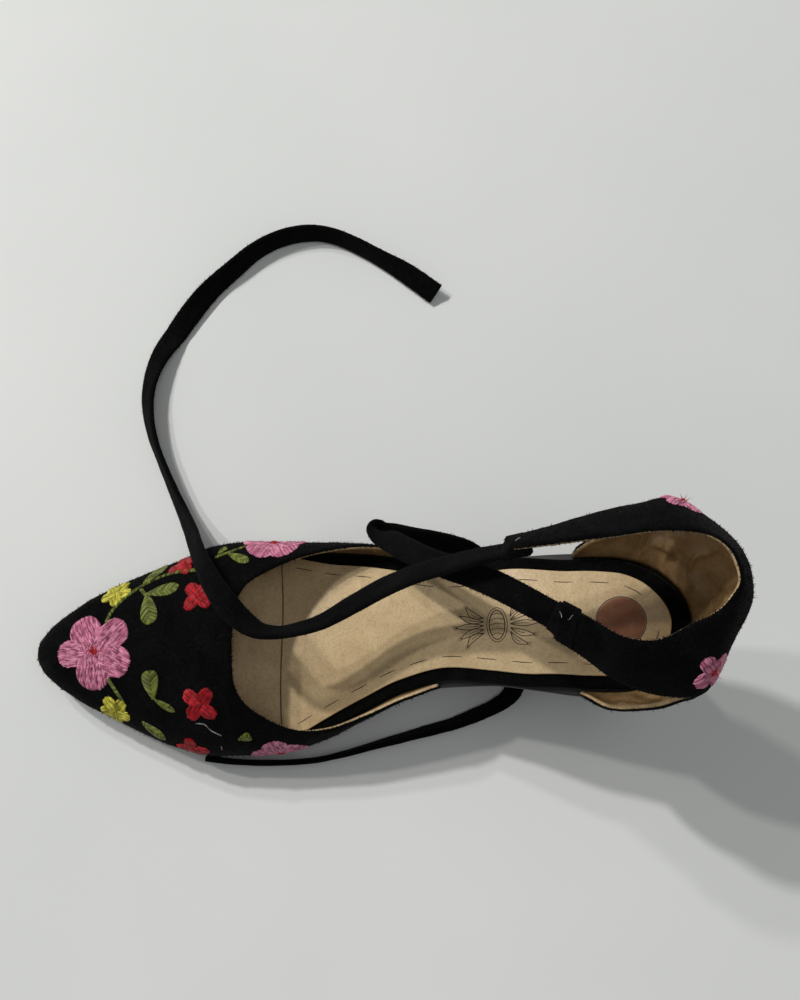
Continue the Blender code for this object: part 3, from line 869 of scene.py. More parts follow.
def strip_frames(route):
    """The tie's centre line with its across and normal directions."""
    smooth = spline_through(route, TIE_STEPS)
    line = smooth[:, :3] / 1000
    tilt = np.radians(smooth[:, 3])
    half_depth = np.abs(np.sin(tilt)) * TIE_WIDTH / 2 + np.cos(tilt) * TIE_THICKNESS / 2
    line[:, 2] = np.maximum(line[:, 2], half_depth + CLEARANCE)
    frames = []
    for i, centre in enumerate(line):
        ahead = Vector(line[min(i + 1, len(line) - 1)] - line[max(i - 1, 0)]).normalized()
        flat = Vector((0, 0, 1)).cross(ahead).normalized()
        up = ahead.cross(flat)
        across = flat * math.cos(tilt[i]) + up * math.sin(tilt[i])
        frames.append((Vector(centre), across, ahead.cross(across), ahead))
    return frames


TIE_PROFILE = (
    # across, through: shares of the half width and half thickness
    (1.0, 0.0), (0.97, 0.62), (0.84, 0.96), (0.45, 1.0), (0.0, 0.94), (-0.45, 1.0), (-0.84, 0.96),
    (-0.97, 0.62), (-1.0, 0.0), (-0.97, -0.62), (-0.84, -0.96), (-0.45, -1.0), (0.0, -0.98),
    (0.45, -1.0), (0.84, -0.96), (0.97, -0.62),
)


def tie(name, node, route):
    """A flat suede strip with a folded, furry edge."""
    frames = strip_frames(route)
    points = []
    faces = []
    count = len(TIE_PROFILE)
    for i, (centre, across, normal, _) in enumerate(frames):
        width = TIE_WIDTH / 2 * (1 + 0.035 * wobble(centre, 0.020, 4.0))
        for k, (side, depth) in enumerate(TIE_PROFILE):
            fray = 0.00022 * abs(side) ** 3 * wobble(centre + across * side * 0.004, 0.0011, 8.0)
            wave = 0.00012 * wobble(centre + across * side * 0.004, 0.006, 1.0)
            points.append(
                centre
                + across * (side * width + math.copysign(fray, side))
                + normal * (depth * (TIE_THICKNESS / 2 - 0.0001) + wave)
            )
    for i in range(len(frames) - 1):
        for k in range(count):
            a = i * count + k
            b = i * count + (k + 1) % count
            faces.append((a, b, b + count, a + count))
    faces.append(tuple(range(count)))
    faces.append(tuple(range((len(frames) - 1) * count, len(frames) * count)))
    made = new_mesh(name, points, faces, [SUEDE])
    face_out(made)
    path = [tuple(frame[0]) for frame in frames[:: TIE_STEPS // 2]]
    if len(frames) % (TIE_STEPS // 2) != 1:
        path.append(tuple(frames[-1][0]))
    roots = []
    for (a, across, normal, ahead), (b, _, _, _) in zip(frames, frames[1:]):
        for side in (-1, 1):
            for _ in range(max(1, round((b - a).length / 0.00020))):
                place = a.lerp(b, RANDOM.random()) + across * side * TIE_WIDTH * 0.485
                place = place + normal * RANDOM.uniform(-0.8, 0.8) * TIE_THICKNESS * 0.4
                roots.append((place, across * side, ahead))
    fibres = tufts(name.replace("strip", "nap"), roots, 30 + len(node), 0.0003, 0.0012, 0.00028)
    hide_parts(node)
    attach(made, "root")
    return made


def ray_of(pixel):
    """The direction from the camera through a pixel of the photograph."""
    x = (pixel[0] - PICTURE[0] / 2) / FOCAL_PIXELS
    y = (PICTURE[1] / 2 - pixel[1]) / FOCAL_PIXELS
    cos, sin = math.cos(CAMERA_ROLL), math.sin(CAMERA_ROLL)
    return Vector((x * cos - y * sin, x * sin + y * cos, -1)).normalized()


class Cloth:
    """The skin that embroidery lies on, reached through a pixel or from a tangent plane."""

    def __init__(self, skin):
        self.tree = BVHTree.FromObject(skin, bpy.context.evaluated_depsgraph_get())

    def under(self, pixel):
        """The place and outward normal that a pixel shows."""
        ray = ray_of(pixel)
        hit, normal, _, _ = self.tree.ray_cast(Vector(CAMERA_PLACE), ray)
        if hit is None:
            hit, normal = self.beside(pixel)
        return hit, normal

    def beside(self, pixel):
        """The nearest place to a pixel's ray, for a motif that wraps past the outline."""
        ray = ray_of(pixel)
        best = None
        for k in range(60):
            place = Vector(CAMERA_PLACE) + ray * (0.33 + 0.0018 * k)
            hit, normal, _, distance = self.tree.find_nearest(place)
            if best is None or distance < best[0]:
                best = (distance, hit, normal)
        return best[1], best[2]

    def onto(self, place, normal):
        """The skin's place and normal under a point of a tangent plane."""
        hit, found, _, _ = self.tree.ray_cast(place + normal * 0.006, -normal, 0.016)
        if hit is None or found.dot(normal) < 0.15:
            hit, found, _, _ = self.tree.find_nearest(place)
        return hit, found


class Embroidery:
    """Raised threads gathered into one mesh, with a colour slot for each thread."""

    def __init__(self, cloth, colours):
        self.cloth = cloth
        self.colours = colours
        self.points = []
        self.faces = []
        self.slots = []

    def thread(self, ends, width, height, slot, frame, base=0.00005):
        """A stitch over the cloth between two places of a motif's plane, arched in the middle."""
        origin, right, up, normal = frame
        steps = max(3, min(7, int(math.dist(*ends) / 0.0011) + 2))
        start = len(self.points)
        (x0, y0), (x1, y1) = ends
        run = math.dist(*ends)
        if run < 0.0002:
            return
        side_x, side_y = -(y1 - y0) / run * width / 2, (x1 - x0) / run * width / 2
        for i in range(steps + 1):
            u = i / steps
            x, y = x0 + (x1 - x0) * u, y0 + (y1 - y0) * u
            arch = base + height * math.sin(math.pi * (0.06 + 0.88 * u)) ** 0.6
            taper = 0.55 + 0.45 * math.sin(math.pi * u) ** 0.4
            plane = origin + right * x + up * y
            hit, found = self.cloth.onto(plane, normal)
            across = right * side_x + up * side_y
            across = (across - found * across.dot(found)) * taper
            top = hit + found * arch
            low = max(arch - width * 0.75, -0.0001)
            self.points.append(hit + across + found * low)
            self.points.append(top + across * 0.5)
            self.points.append(top - across * 0.5)
            self.points.append(hit - across + found * low)
        for i in range(steps):
            a = start + 4 * i
            for k in range(3):
                self.faces.append((a + k, a + 4 + k, a + 5 + k, a + 1 + k))
                self.slots.append(slot)

    def make(self, name):
        made = new_mesh(name, self.points, self.faces, self.colours, self.slots)
        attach(made, "root")
        return made


def motif_frame(cloth, spot):
    """A tangent plane at a pixel or a place of the skin: its right runs towards the heel where it can."""
    if len(spot) == 2:
        origin, normal = cloth.under(spot)
    else:
        origin, normal, _, _ = cloth.tree.find_nearest(Vector(spot))
    ahead = Vector((1, 0, 0)) if abs(normal.x) < 0.8 else Vector((0, 1, 0))
    right = (ahead - normal * normal.dot(ahead)).normalized()
    return origin, right, normal.cross(right), normal


THREAD_GAP = 0.00031
THREAD_WIDTH = 0.00046


def petal(work, frame, centre, along, across, turn, slot, rise=0.0005, split=0.0024):
    """A satin-stitched petal: threads lie along `turn`, in rows that meet in a zigzag."""
    cos, sin = math.cos(turn), math.sin(turn)
    y = -across * 0.97
    odd = False
    while y < across * 0.97:
        full = (1 - abs(y / across) ** 2.3) ** (1 / 2.3)
        reach = along * full + RANDOM.uniform(-0.0002, 0.0003)
        mound = rise * (0.6 + 0.4 * full)
        inner = [
            k * split + (0.00045 if odd else -0.00045) + RANDOM.uniform(-0.00012, 0.00012)
            for k in range(-6, 7)
            if abs(k * split) < reach - split * 0.4
        ]
        cuts = [-reach] + inner + [reach]
        for a, b in zip(cuts, cuts[1:]):
            skew = RANDOM.uniform(-0.00010, 0.00010)
            ends = []
            for x, shift in ((a - 0.00012, skew), (b + 0.00012, -skew)):
                ends.append(
                    (
                        centre[0] + x * cos - (y + shift) * sin,
                        centre[1] + x * sin + (y + shift) * cos,
                    )
                )
            work.thread(ends, THREAD_WIDTH, mound * RANDOM.uniform(0.75, 1.15), slot, frame)
        y += THREAD_GAP * RANDOM.uniform(0.85, 1.15)
        odd = not odd


def knot(work, frame, centre, radius, slot):
    """A flower's heart: short threads over the petals' inner ends."""
    petal(work, frame, centre, radius, radius * 0.85, 0.6, slot, rise=0.0009, split=0.02)


def leaf(work, frame, start, end, width, slot, rise=0.00045):
    """A pointed leaf: slanting threads either side of its rib."""
    run = math.dist(start, end)
    ahead = ((end[0] - start[0]) / run, (end[1] - start[1]) / run)
    side = (-ahead[1], ahead[0])
    at = 0.0
    while at < run:
        u = at / run
        half = width / 2 * math.sin(math.pi * min(1, u * 0.94 + 0.05)) ** 0.75
        rib = (start[0] + ahead[0] * at, start[1] + ahead[1] * at)
        slant = 0.8 * half
        for sign in (1, -1):
            tip_at = min(at + slant, run * 1.02)
            tip = (
                start[0] + ahead[0] * tip_at + side[0] * half * sign,
                start[1] + ahead[1] * tip_at + side[1] * half * sign,
            )
            inner = (rib[0] - side[0] * 0.0001 * sign, rib[1] - side[1] * 0.0001 * sign)
            work.thread((inner, tip), THREAD_WIDTH, rise * RANDOM.uniform(0.8, 1.15), slot, frame)
        at += THREAD_GAP * 1.05


def stem(work, pixels, width, slot):
    """A roped stem: short slanting threads over a line of pixels."""
    path = spline_through([(x, y, 0.0) for x, y in pixels], 14)
    done = 0.0
    for a, b in zip(path, path[1:]):
        done += math.dist(a, b)
        if done < 0.62:
            continue
        done = 0.0
        frame = motif_frame(work.cloth, (a[0], a[1]))
        heading = math.atan2(-(b[1] - a[1]), b[0] - a[0])
        slant = heading + 1.0
        dx, dy = math.cos(slant) * width / 2, math.sin(slant) * width / 2
        work.thread(((-dx, -dy), (dx, dy)), THREAD_WIDTH, 0.00045, slot, frame)


# Petals of the large toe flower: along X and Y from its heart and their radius, in millimetres
TOE_FLOWER = (
    (-3.2, 6.2, 6.2),
    (7.4, 6.0, 5.4),
    (8.0, -3.9, 5.8),
    (-0.3, -7.0, 6.6),
    (-8.8, -0.7, 5.0),
    (0.6, 0.0, 5.6),
)


def toe_flower(work, pixel, slot, heart):
    frame = motif_frame(work.cloth, pixel)
    for x, y, radius in TOE_FLOWER:
        turn = math.atan2(y, x) if abs(x) + abs(y) > 1 else 1.2
        size = radius / 1000
        petal(work, frame, (x / 1000, y / 1000), size * 1.05, size, turn, slot, rise=0.00062)
    knot(work, frame, (0.0, 0.0), 0.0019, heart)


def flower(work, pixel, radius, petals, turn, slot, heart=None, fullness=0.50):
    """Petals round a heart; radius is the whole flower's."""
    frame = motif_frame(work.cloth, pixel)
    for k in range(petals):
        angle = turn + 2 * math.pi * k / petals
        reach = radius * 0.56
        centre = (math.cos(angle) * reach, math.sin(angle) * reach)
        petal(work, frame, centre, radius * 0.47, radius * fullness, angle, slot, rise=0.0005)
    if heart is not None:
        knot(work, frame, (0.0, 0.0), radius * 0.17, heart)


# Motifs of the toe, where the photograph shows them (pixels), with sizes in millimetres
FLOWERS = (
    # pixel, radius, petals, turn in degrees, colour slot, heart slot, petal fullness
    ((150.3, 379.8), 5.9, 5, 200, 2, 2, 0.40),
    ((218.6, 381.0), 6.6, 4, 45, 1, 1, 0.38),
    ((206.0, 355.0), 6.2, 4, 20, 1, 1, 0.38),
    ((282.0, 337.6), 11.5, 5, 15, 0, 1, 0.52),
    ((154.0, 477.0), 6.0, 5, 50, 2, 2, 0.40),
    ((223.0, 472.0), 6.9, 4, 52, 1, 1, 0.38),
    ((219.5, 507.5), 6.2, 4, 10, 1, 1, 0.38),
    ((291.5, 509.5), 10.4, 5, 30, 0, 1, 0.52),
)
LEAVES = (
    # start pixel, end pixel, width in millimetres
    ((172.5, 372.0), (191.5, 357.0), 5.2),
    ((175.8, 380.6), (202.0, 374.0), 5.6),
    ((176.0, 381.0), (180.0, 405.0), 7.0),
    ((243.0, 346.5), (260.0, 353.2), 4.2),
    ((234.5, 346.5), (241.0, 341.0), 2.6),
    ((185.5, 467.5), (180.5, 444.5), 6.8),
    ((186.5, 468.0), (203.5, 477.5), 2.8),
    ((177.0, 485.5), (196.5, 499.5), 5.0),
    ((256.5, 499.5), (266.0, 497.0), 4.0),
)
STEMS = (
    ((142.7, 404.5), (147.0, 395.0), (156.4, 384.7), (170.2, 374.4), (187.4, 365.8), (202.9, 361.5), (219.0, 360.0)),
    ((232.2, 349.4), (246.0, 344.2), (258.0, 339.9)),
    ((146.0, 450.0), (152.5, 459.0), (159.5, 468.5)),
    ((170.5, 376.5), (174.0, 380.5), (177.0, 381.5)),
)


LOOSE_THREADS = (
    ((221.0, 486.8), (228.0, 487.6), (234.0, 492.6), (242.5, 496.6)),
    ((242.5, 505.0), (243.5, 508.0)),
)


def toe_embroidery(skin):
    work = Embroidery(Cloth(skin), (PINK, RED, YELLOW, GREEN, LINT))
    for pixels in STEMS:
        stem(work, pixels, 0.0017, 3)
    for pixels in LOOSE_THREADS:
        stem(work, pixels, 0.00022, 4)
    for start, end, width in LEAVES:
        frame = motif_frame(work.cloth, ((start[0] + end[0]) / 2, (start[1] + end[1]) / 2))
        origin, right, up, normal = frame
        ends = []
        for pixel in (start, end):
            hit, _ = work.cloth.under(pixel)
            ends.append(((hit - origin).dot(right), (hit - origin).dot(up)))
        leaf(work, frame, ends[0], ends[1], width / 1000, 3)
    for pixel, radius, petals, turn, slot, heart, fullness in FLOWERS:
        flower(work, pixel, radius / 1000, petals, math.radians(turn), slot, heart, fullness)
    toe_flower(work, (133.7, 428.0), 0, 1)
    return work.make("toe_embroidery")


COUNTER_FLOWERS = (
    # pixel or place, radius, petals, turn in degrees, colour slot, heart slot, petal fullness
    ((629.5, 299.8), 6.8, 5, 10, 0, 1, 0.44),
    ((646.0, 445.0), 6.4, 4, 30, 0, 1, 0.42),
    ((0.1250, 0.0040, 0.0900), 5.0, 4, 45, 1, 1, 0.38),
)


def counter_embroidery(skin):
    work = Embroidery(Cloth(skin), (PINK, RED, YELLOW, GREEN))
    ends = []
    for pixel, radius, petals, turn, slot, heart, fullness in COUNTER_FLOWERS:
        flower(work, pixel, radius / 1000, petals, math.radians(turn), slot, heart, fullness)
        origin, right, _, normal = motif_frame(work.cloth, pixel)
        ends += [(origin, normal, right)] * 5
    tufts("loose_ends", ends, 41, 0.0028, 0.0052, 0.00036, RED)
    return work.make("counter_embroidery")


def sock_stitches():
    """Dark dashes let into the sock along its edge."""
    inset = 0.0038
    dash = 0.0066
    pitch = 0.0118
    points = []
    faces = []
    for side in (1, -1):
        along, width = sole_edge(lambda share: sock_edge(share) + inset, SOLE_STATIONS * 2, side)
        line = np.column_stack([TOE_X + along, side * width])
        travelled = np.concatenate([[0], np.cumsum(np.hypot(*np.diff(line, axis=0).T))])
        first = np.interp(TOE_X + 0.40 * SOLE_LENGTH, line[:, 0], travelled)
        start = first + pitch * 0.3
        while start + dash < travelled[-1]:
            base = len(points)
            steps = 8
            for i in range(steps + 1):
                at = start + dash * i / steps
                x = float(np.interp(at, travelled, line[:, 0]))
                y = float(np.interp(at, travelled, line[:, 1]))
                x2 = float(np.interp(at + 0.0002, travelled, line[:, 0]))
                y2 = float(np.interp(at + 0.0002, travelled, line[:, 1]))
                run = math.hypot(x2 - x, y2 - y)
                nx, ny = -(y2 - y) / run, (x2 - x) / run
                half = 0.00022 * math.sin(math.pi * (0.1 + 0.8 * i / steps)) ** 0.5
                z = float(level(x - TOE_X, SOCK_BOTTOM + SOCK_THICKNESS))
                points.append((x + nx * half, y + ny * half, z - 0.00005))
                points.append((x, y, z + 0.00012))
                points.append((x - nx * half, y - ny * half, z - 0.00005))
            for i in range(steps):
                a = base + 3 * i
                faces.append((a, a + 1, a + 4, a + 3))
                faces.append((a + 1, a + 2, a + 5, a + 4))
            start += pitch
    made = new_mesh("sock_stitches", points, faces, [STITCH])
    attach(made, "root")
    return made


def heel_disc():
    """The plain brown disc printed on the heel of the sock."""
    x0, y0 = 0.0887, 0.0008
    radius = 0.0083
    points = []
    faces = []
    rings = 14
    turns = 72
    for k in range(rings + 1):
        r = radius * k / rings
        for j in range(turns):
            a = 2 * math.pi * j / turns
            x, y = x0 + r * math.cos(a), y0 + r * math.sin(a)
            lift = 0.00006 if k < rings else -0.0001
            points.append((x, y, float(level(x - TOE_X, SOCK_BOTTOM + SOCK_THICKNESS)) + lift))
    for k in range(rings):
        for j in range(turns):
            a = k * turns + j
            b = k * turns + (j + 1) % turns
            faces.append((a, b, b + turns, a + turns))
    slots = [0] * len(faces)
    line_on_sock(points, faces, ring(x0, y0, radius * 0.985, radius * 0.985, turns), 0.00045, 0.00012)
    slots += [1] * (len(faces) - len(slots))
    made = new_mesh("heel_disc", points, faces, [DISC, PRINT], slots)
    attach(made, "root")
    return made


def on_sock(x, y, lift):
    return x, y, float(level(x - TOE_X, SOCK_BOTTOM + SOCK_THICKNESS)) + lift


def line_on_sock(points, faces, path, width, lift):
    """A low rounded line that follows a path of (x, y) over the sock."""
    first = len(points)
    for i, (x, y) in enumerate(path):
        x0, y0 = path[max(i - 1, 0)]
        x1, y1 = path[min(i + 1, len(path) - 1)]
        run = math.hypot(x1 - x0, y1 - y0)
        nx, ny = -(y1 - y0) / run * width / 2, (x1 - x0) / run * width / 2
        points.append(on_sock(x + nx, y + ny, -0.00004))
        points.append(on_sock(x, y, lift))
        points.append(on_sock(x - nx, y - ny, -0.00004))
    for i in range(len(path) - 1):
        a = first + 3 * i
        faces.append((a, a + 1, a + 4, a + 3))
        faces.append((a + 1, a + 2, a + 5, a + 4))


def sock_seam():
    """The joint across the sock where its front piece is let in."""
    points = []
    faces = []
    seam = [(-0.0312 + 0.0006 * math.sin(y * 90), y) for y in np.linspace(-0.0345, 0.0350, 60)]
    line_on_sock(points, faces, seam, 0.0009, 0.00008)
    made = new_mesh("sock_seam", points, faces, [SEAM])
    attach(made, "root")


def ring(x0, y0, across, along, count=64):
    turns = [2 * math.pi * k / count for k in range(count + 1)]
    return [(x0 + across * math.cos(t), y0 + along * math.sin(t)) for t in turns]


def ornament():
    """A plain printed device: two nested ovals with bars, and a fan of small leaves on each side."""
    x0, y0 = 0.0480, 0.0019
    points = []
    faces = []
    line_on_sock(points, faces, ring(x0, y0, 0.0026, 0.0050), 0.00055, 0.00007)
    line_on_sock(points, faces, ring(x0, y0, 0.0034, 0.0059), 0.00038, 0.00007)
    for k in range(-2, 3):
        y = y0 + 0.0017 * k
        half = 0.0026 * math.sqrt(1 - (0.0017 * k / 0.0050) ** 2)
        line_on_sock(points, faces, [(x0 - half, y), (x0, y + 0.0006), (x0 + half, y)], 0.00040, 0.00006)
    for side in (-1, 1):
        for k in range(-2, 3):
            turn = math.radians(19 * k)
            base = (x0 + side * 0.0044, y0 + 0.0013 * k)
            reach = 0.0098 - 0.0012 * abs(k)
            tip = (base[0] + side * reach * math.cos(turn), base[1] + reach * math.sin(turn))
            for bow in (-0.0010, 0.0010, 0.0):
                leaf_side = []
                for j in range(11):
                    u = j / 10 * (1.0 if bow else 0.6)
                    sway = bow * math.sin(math.pi * u) + 0.0006 * k * math.sin(math.pi * u)
                    leaf_side.append(
                        (
                            base[0] + (tip[0] - base[0]) * u - (tip[1] - base[1]) / reach * sway,
                            base[1] + (tip[1] - base[1]) * u + (tip[0] - base[0]) / reach * sway,
                        )
                    )
                line_on_sock(points, faces, leaf_side, 0.00046 if bow else 0.00032, 0.00006)
            line_on_sock(points, faces, ring(tip[0], tip[1], 0.0006, 0.0006, 12), 0.00026, 0.00006)
    made = new_mesh("sock_ornament", points, faces, [PRINT])
    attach(made, "root")


def tufts(name, roots, seed, shortest, longest, width, finish=NAP):
    """Loose fibres of suede: roots are (place, outward direction, direction along the edge)."""
    pick = random.Random(seed)
    points = []
    faces = []
    for place, out, along in roots:
        length = shortest + (longest - shortest) * pick.random() ** 2.2
        lean = out * pick.uniform(0.45, 1.0) + along * pick.uniform(-0.8, 0.8)
        lean = lean + out.cross(along) * pick.uniform(-0.6, 0.6)
        lean.normalize()
        half = along * width * 0.5 * pick.uniform(0.6, 1.2)
        root = place + along * pick.uniform(-0.0001, 0.0001) - out * 0.00008
        bend = root + lean * length * 0.6
        tip = root + lean * length + along * length * pick.uniform(-0.3, 0.3)
        first = len(points)
        for corner in (root + half, root - half, bend - half * 0.5, bend + half * 0.5, tip):
            corner.z = max(corner.z, 0.0001)
            points.append(corner)
        faces += [(first, first + 1, first + 2, first + 3), (first + 3, first + 2, first + 4)]
    made = new_mesh(name, points, faces, [finish])
    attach(made, "root")
    return made


def rim_roots(skin, slot_number, spacing):
    """Places along the outer line of a shell's rim, from the faces of its lining-coloured edge."""
    mesh = skin.data
    finish = {}
    for face in mesh.polygons:
        for key in face.edge_keys:
            finish.setdefault(key, []).append(face)
    roots = []
    for (a, b), faces in finish.items():
        kinds = sorted(face.material_index for face in faces)
        if kinds != [0, 2]:
            continue
        start, end = mesh.vertices[a].co, mesh.vertices[b].co
        run = (end - start).length
        if run < 1e-6:
            continue
        along = (end - start) / run
        out = (faces[0].normal + faces[1].normal).normalized()
        count = run / spacing
        whole = int(count) + (1 if RANDOM.random() < count - int(count) else 0)
        for _ in range(whole):
            roots.append((start.lerp(end, RANDOM.random()), out, along))
    return roots


def surface_roots(skin, each):
    """Places spread over the suede side of a skin, one for so many square metres."""
    mesh = skin.data
    roots = []
    for face in mesh.polygons:
        if face.material_index != 0:
            continue
        count = face.area / each
        whole = int(count) + (1 if RANDOM.random() < count - int(count) else 0)
        corners = [mesh.vertices[i].co for i in face.vertices]
        for _ in range(whole):
            u, v = RANDOM.random(), RANDOM.random()
            if len(corners) == 4:
                place = corners[0].lerp(corners[1], u).lerp(corners[3].lerp(corners[2], u), v)
            else:
                place = corners[0].lerp(corners[1], u).lerp(corners[2], v * 0.5)
            along = (corners[1] - corners[0]).normalized()
            turn = 2.5 * wobble(place, 0.010, 6.0) + RANDOM.uniform(-0.8, 0.8)
            along = along * math.cos(turn) + face.normal.cross(along) * math.sin(turn)
            roots.append((place.copy(), (face.normal * 0.55 + along * 0.8).normalized(), along))
    return roots


def naps(vamp_skin, counter_skin):
    """Raised fibres on the suede and at its cut edges."""
    for skin, seed in ((vamp_skin, 11), (counter_skin, 12)):
        name = skin.name.replace("skin", "edge_nap")
        tufts(name, rim_roots(skin, 2, 0.00022), seed, 0.0004, 0.0014, 0.00030)
        name = skin.name.replace("skin", "nap")
        tufts(name, surface_roots(skin, 1.1e-6), seed + 10, 0.0004, 0.0014, 0.00032)


def sleeve(name, fold, collar, order, route):
    """The turned-back end of a wing, closed and stitched round the tie that comes out of it."""
    frames = strip_frames(route)
    line = []
    travelled = 0.0
    last = None
    for i in order:
        middle = Vector((fold[i] + collar[i]) / 2)
        if last is not None:
            travelled += (middle - last).length
        last = middle
        line.append((travelled, Vector(fold[i]), Vector(collar[i])))
        if travelled > 0.0075:
            break
    tip = (line[0][1] + line[0][2]) / 2
    ahead = (tip - (line[1][1] + line[1][2]) / 2).normalized()
    sections = []
    for at, low, high in line[::-1]:
        if at > 0.0066:
            continue
        across = (high - low).normalized()
        normal = across.cross(ahead).normalized()
        if normal.z < 0:
            normal = -normal
        open_end = min(1, (0.0066 - at) / 0.0014)
        deep = 0.0052 * open_end
        centre = (low + high) / 2 - normal * (deep / 2 - 0.0005 * open_end)
        sections.append((centre, across, normal, (high - low).length / 2 + 0.0004, deep / 2 + 0.0002))
    over = 0
    for centre, across, normal, _ in frames:
        gone = (centre - tip).dot(ahead)
        if gone < 0.0006:
            continue
        if gone > 0.0030:
            break
        if across.dot(sections[-1][1]) < 0:
            across = -across
            normal = -normal
        if normal.dot(sections[-1][2]) < 0:
            normal = -normal
        close = 1 - (gone - 0.0006) / 0.0024
        old = sections[-1 - over]
        centre = centre.lerp(old[0] + ahead * gone, 0.45 * close)
        across = across.lerp(old[1], 0.5 * close).normalized()
        normal = normal.lerp(old[2], 0.5 * close).normalized()
        wide = TIE_WIDTH / 2 + 0.0004 + 0.0004 * close
        sections.append((centre, across, normal, wide, 0.0015 + 0.0009 * close))
        over += 1
    last = sections[-1]
    sections.append((last[0] + ahead * 0.0002, last[1], last[2], last[3] - 0.0005, last[4] - 0.0006))
    points = []
    faces = []
    count = 28
    for j, (centre, across, normal, wide, deep) in enumerate(sections):
        pinch = 1 - 0.10 * math.exp(-(((j - len(sections) + over + 8) / 1.5) ** 2))
        for k in range(count):
            turn = 2 * math.pi * k / count
            x = math.copysign(abs(math.cos(turn)) ** 0.45, math.cos(turn)) * wide
            y = math.copysign(abs(math.sin(turn)) ** 0.7, math.sin(turn)) * deep * pinch
            place = centre + across * x + normal * y
            crumple = 0.00022 * wobble(place, 0.0024, 7.0) + 0.00008 * wobble(place, 0.0009, 9.0)
            points.append(place + normal * math.copysign(crumple, y))
    for j in range(len(sections) - 1):
        for k in range(count):
            a = j * count + k
            b = j * count + (k + 1) % count
            faces.append((a, b, b + count, a + count))
    made = new_mesh(name, points, faces, [SUEDE])
    face_out(made)
    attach(made, "root")
    spots = []
    for j in range(2, len(sections) - over - 1, 1):
        centre, across, normal, wide, deep = sections[j]
        if j % 4:
            continue
        spots.append(centre + normal * (deep + 0.00015) + across * wide * 0.55)
    return spots


def lint(spots):
    """Bits of pale lint and stitch ends caught on the suede."""
    pick = random.Random(5)
    points = []
    faces = []
    for spot in spots:
        for _ in range(2):
            heading = Vector((pick.uniform(-1, 1), pick.uniform(-1, 1), pick.uniform(0, 0.6))).normalized()
            bend = Vector((pick.uniform(-1, 1), pick.uniform(-1, 1), 0.2)).normalized()
            width = heading.cross(Vector((0, 0, 1))).normalized() * 0.00007
            first = len(points)
            reach = pick.uniform(0.0006, 0.0016)
            for j in range(4):
                u = j / 3
                place = Vector(spot) + heading * reach * u + bend * reach * 0.4 * u * u
                points += [place + width, place - width]
            for j in range(3):
                a = first + 2 * j
                faces.append((a, a + 1, a + 3, a + 2))
    made = new_mesh("lint", points, faces, [LINT])
    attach(made, "root")


def camera():
    made = bpy.data.objects.new("camera", bpy.data.cameras.new("camera"))
    bpy.context.collection.objects.link(made)
    made.location = CAMERA_PLACE
    turned = Vector((0, 0, -1)).rotation_difference(ray_of(FRAME_CENTRE))
    made.rotation_mode = "QUATERNION"
    made.rotation_quaternion = turned @ Euler((0, 0, CAMERA_ROLL)).to_quaternion()
    made.data.sensor_width = SENSOR_MM
    made.data.lens = FRAME_ZOOM * SENSOR_MM * FOCAL_PIXELS / PICTURE[1]
    made.data.clip_start = 0.01
    bpy.context.scene.camera = made


def lamp(name, place, aim, size, power, colour):
    light = bpy.data.lights.new(name, "AREA")
    light.shape = "DISK"
    light.size = size
    light.energy = power
    light.color = colour
    made = bpy.data.objects.new(name, light)
    made.location = place
    made.rotation_euler = (Vector(aim) - Vector(place)).to_track_quat("-Z", "Y").to_euler()
    bpy.context.collection.objects.link(made)


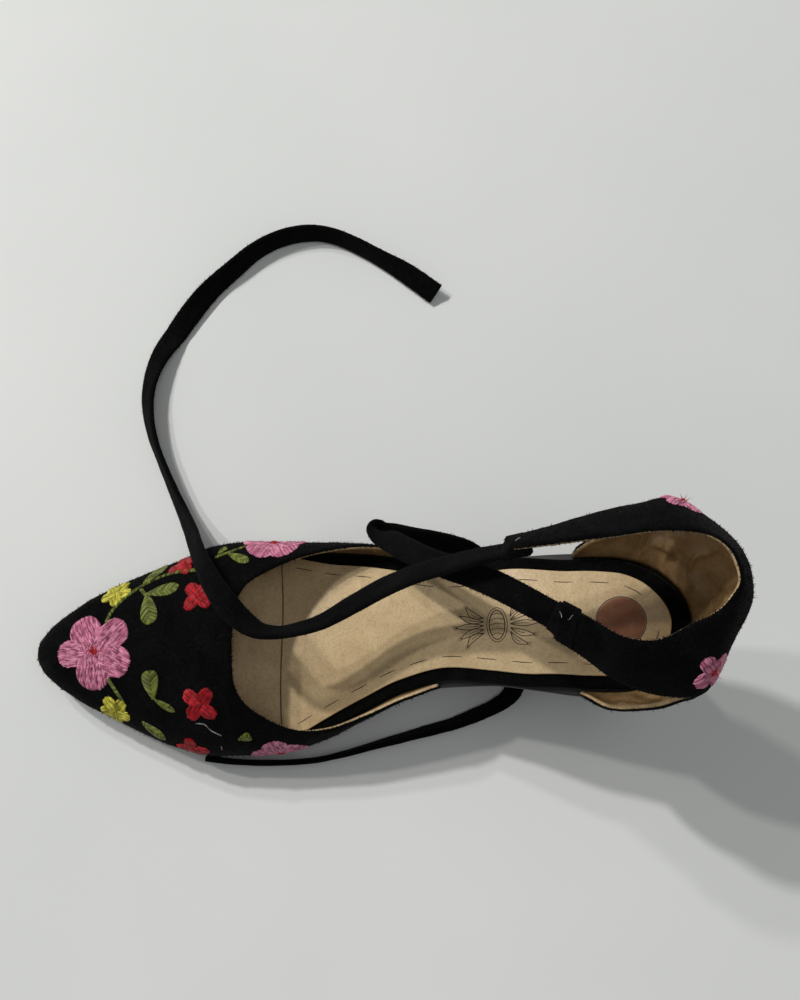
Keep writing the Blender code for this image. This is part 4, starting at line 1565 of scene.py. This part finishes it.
def stage():
    floor = Nodes("pale_floor")
    floor.set(Roughness=0.55)
    floor.shader.inputs["Specular IOR Level"].default_value = 0.25
    tone = floor.noise(0.30, detail=4.0, roughness=0.5)
    floor.link(
        floor.ramp(tone, ((0.3, srgb(204, 206, 204)), (0.7, srgb(216, 217, 215)))),
        floor.shader.inputs["Base Color"],
    )
    size = 14.0
    corners = [(-size, -size, 0), (size, -size, 0), (size, size, 0), (-size, size, 0)]
    made = new_mesh("floor", corners, [(0, 1, 2, 3)], [floor.material])
    lamp("key", (-1.25, 1.36, 1.95), (0, 0.03, 0), 0.13, 33.0, (1.0, 0.99, 0.97))
    lamp("second", (-1.62, 1.02, 1.95), (0, 0.03, 0), 0.13, 16.0, (1.0, 0.99, 0.97))
    lamp("third", (-1.12, 1.70, 1.95), (0, 0.03, 0), 0.13, 13.0, (1.0, 0.99, 0.97))
    lamp("ceiling", (0.5, -0.1, 1.9), (0, 0, 0), 1.2, 5.0, (0.97, 0.98, 1.0))
    world = bpy.data.worlds.new("room")
    world.use_nodes = True
    world.node_tree.nodes["Background"].inputs["Color"].default_value = (0.96, 0.98, 0.97, 1)
    world.node_tree.nodes["Background"].inputs["Strength"].default_value = 0.24
    bpy.context.scene.world = world
    bpy.context.scene.view_settings.view_transform = "Standard"


def main():
    camera()
    stage()
    slab("outsole_skin", lambda share: 0 * share, 0.0, OUTSOLE_THICKNESS, 0.0007, OUTSOLE_RUBBER, "outsole")
    slab("insole_skin", upper_margin, INSOLE_BOTTOM, INSOLE_THICKNESS, 0.0011, SUEDE, "insole")
    slab("sock_skin", sock_edge, SOCK_BOTTOM, SOCK_THICKNESS, 0.0004, SOCK_LEATHER, "sock")
    vamp_skin = vamp()
    counter_skin, fold, collar = counter()
    tie("tie_lateral_strip", "tie_lateral", OUTER_TIE_ROUTE)
    tie("tie_medial_strip", "tie_medial", INNER_TIE_ROUTE)
    toe_embroidery(vamp_skin)
    counter_embroidery(counter_skin)
    sock_stitches()
    heel_disc()
    sock_seam()
    ornament()
    naps(vamp_skin, counter_skin)
    spots = sleeve("sleeve_medial", fold, collar, range(0, 200), INNER_TIE_ROUTE)
    spots += sleeve("sleeve_lateral", fold, collar, range(-1, -200, -1), OUTER_TIE_ROUTE)
    lint(spots)
    for node, finish in (("heel_block", SUEDE), ("heel_top_piece", TOP_PIECE_RUBBER)):
        cad = frame["nodes"][node]
        cad.data.materials.clear()
        cad.data.materials.append(finish)


main()
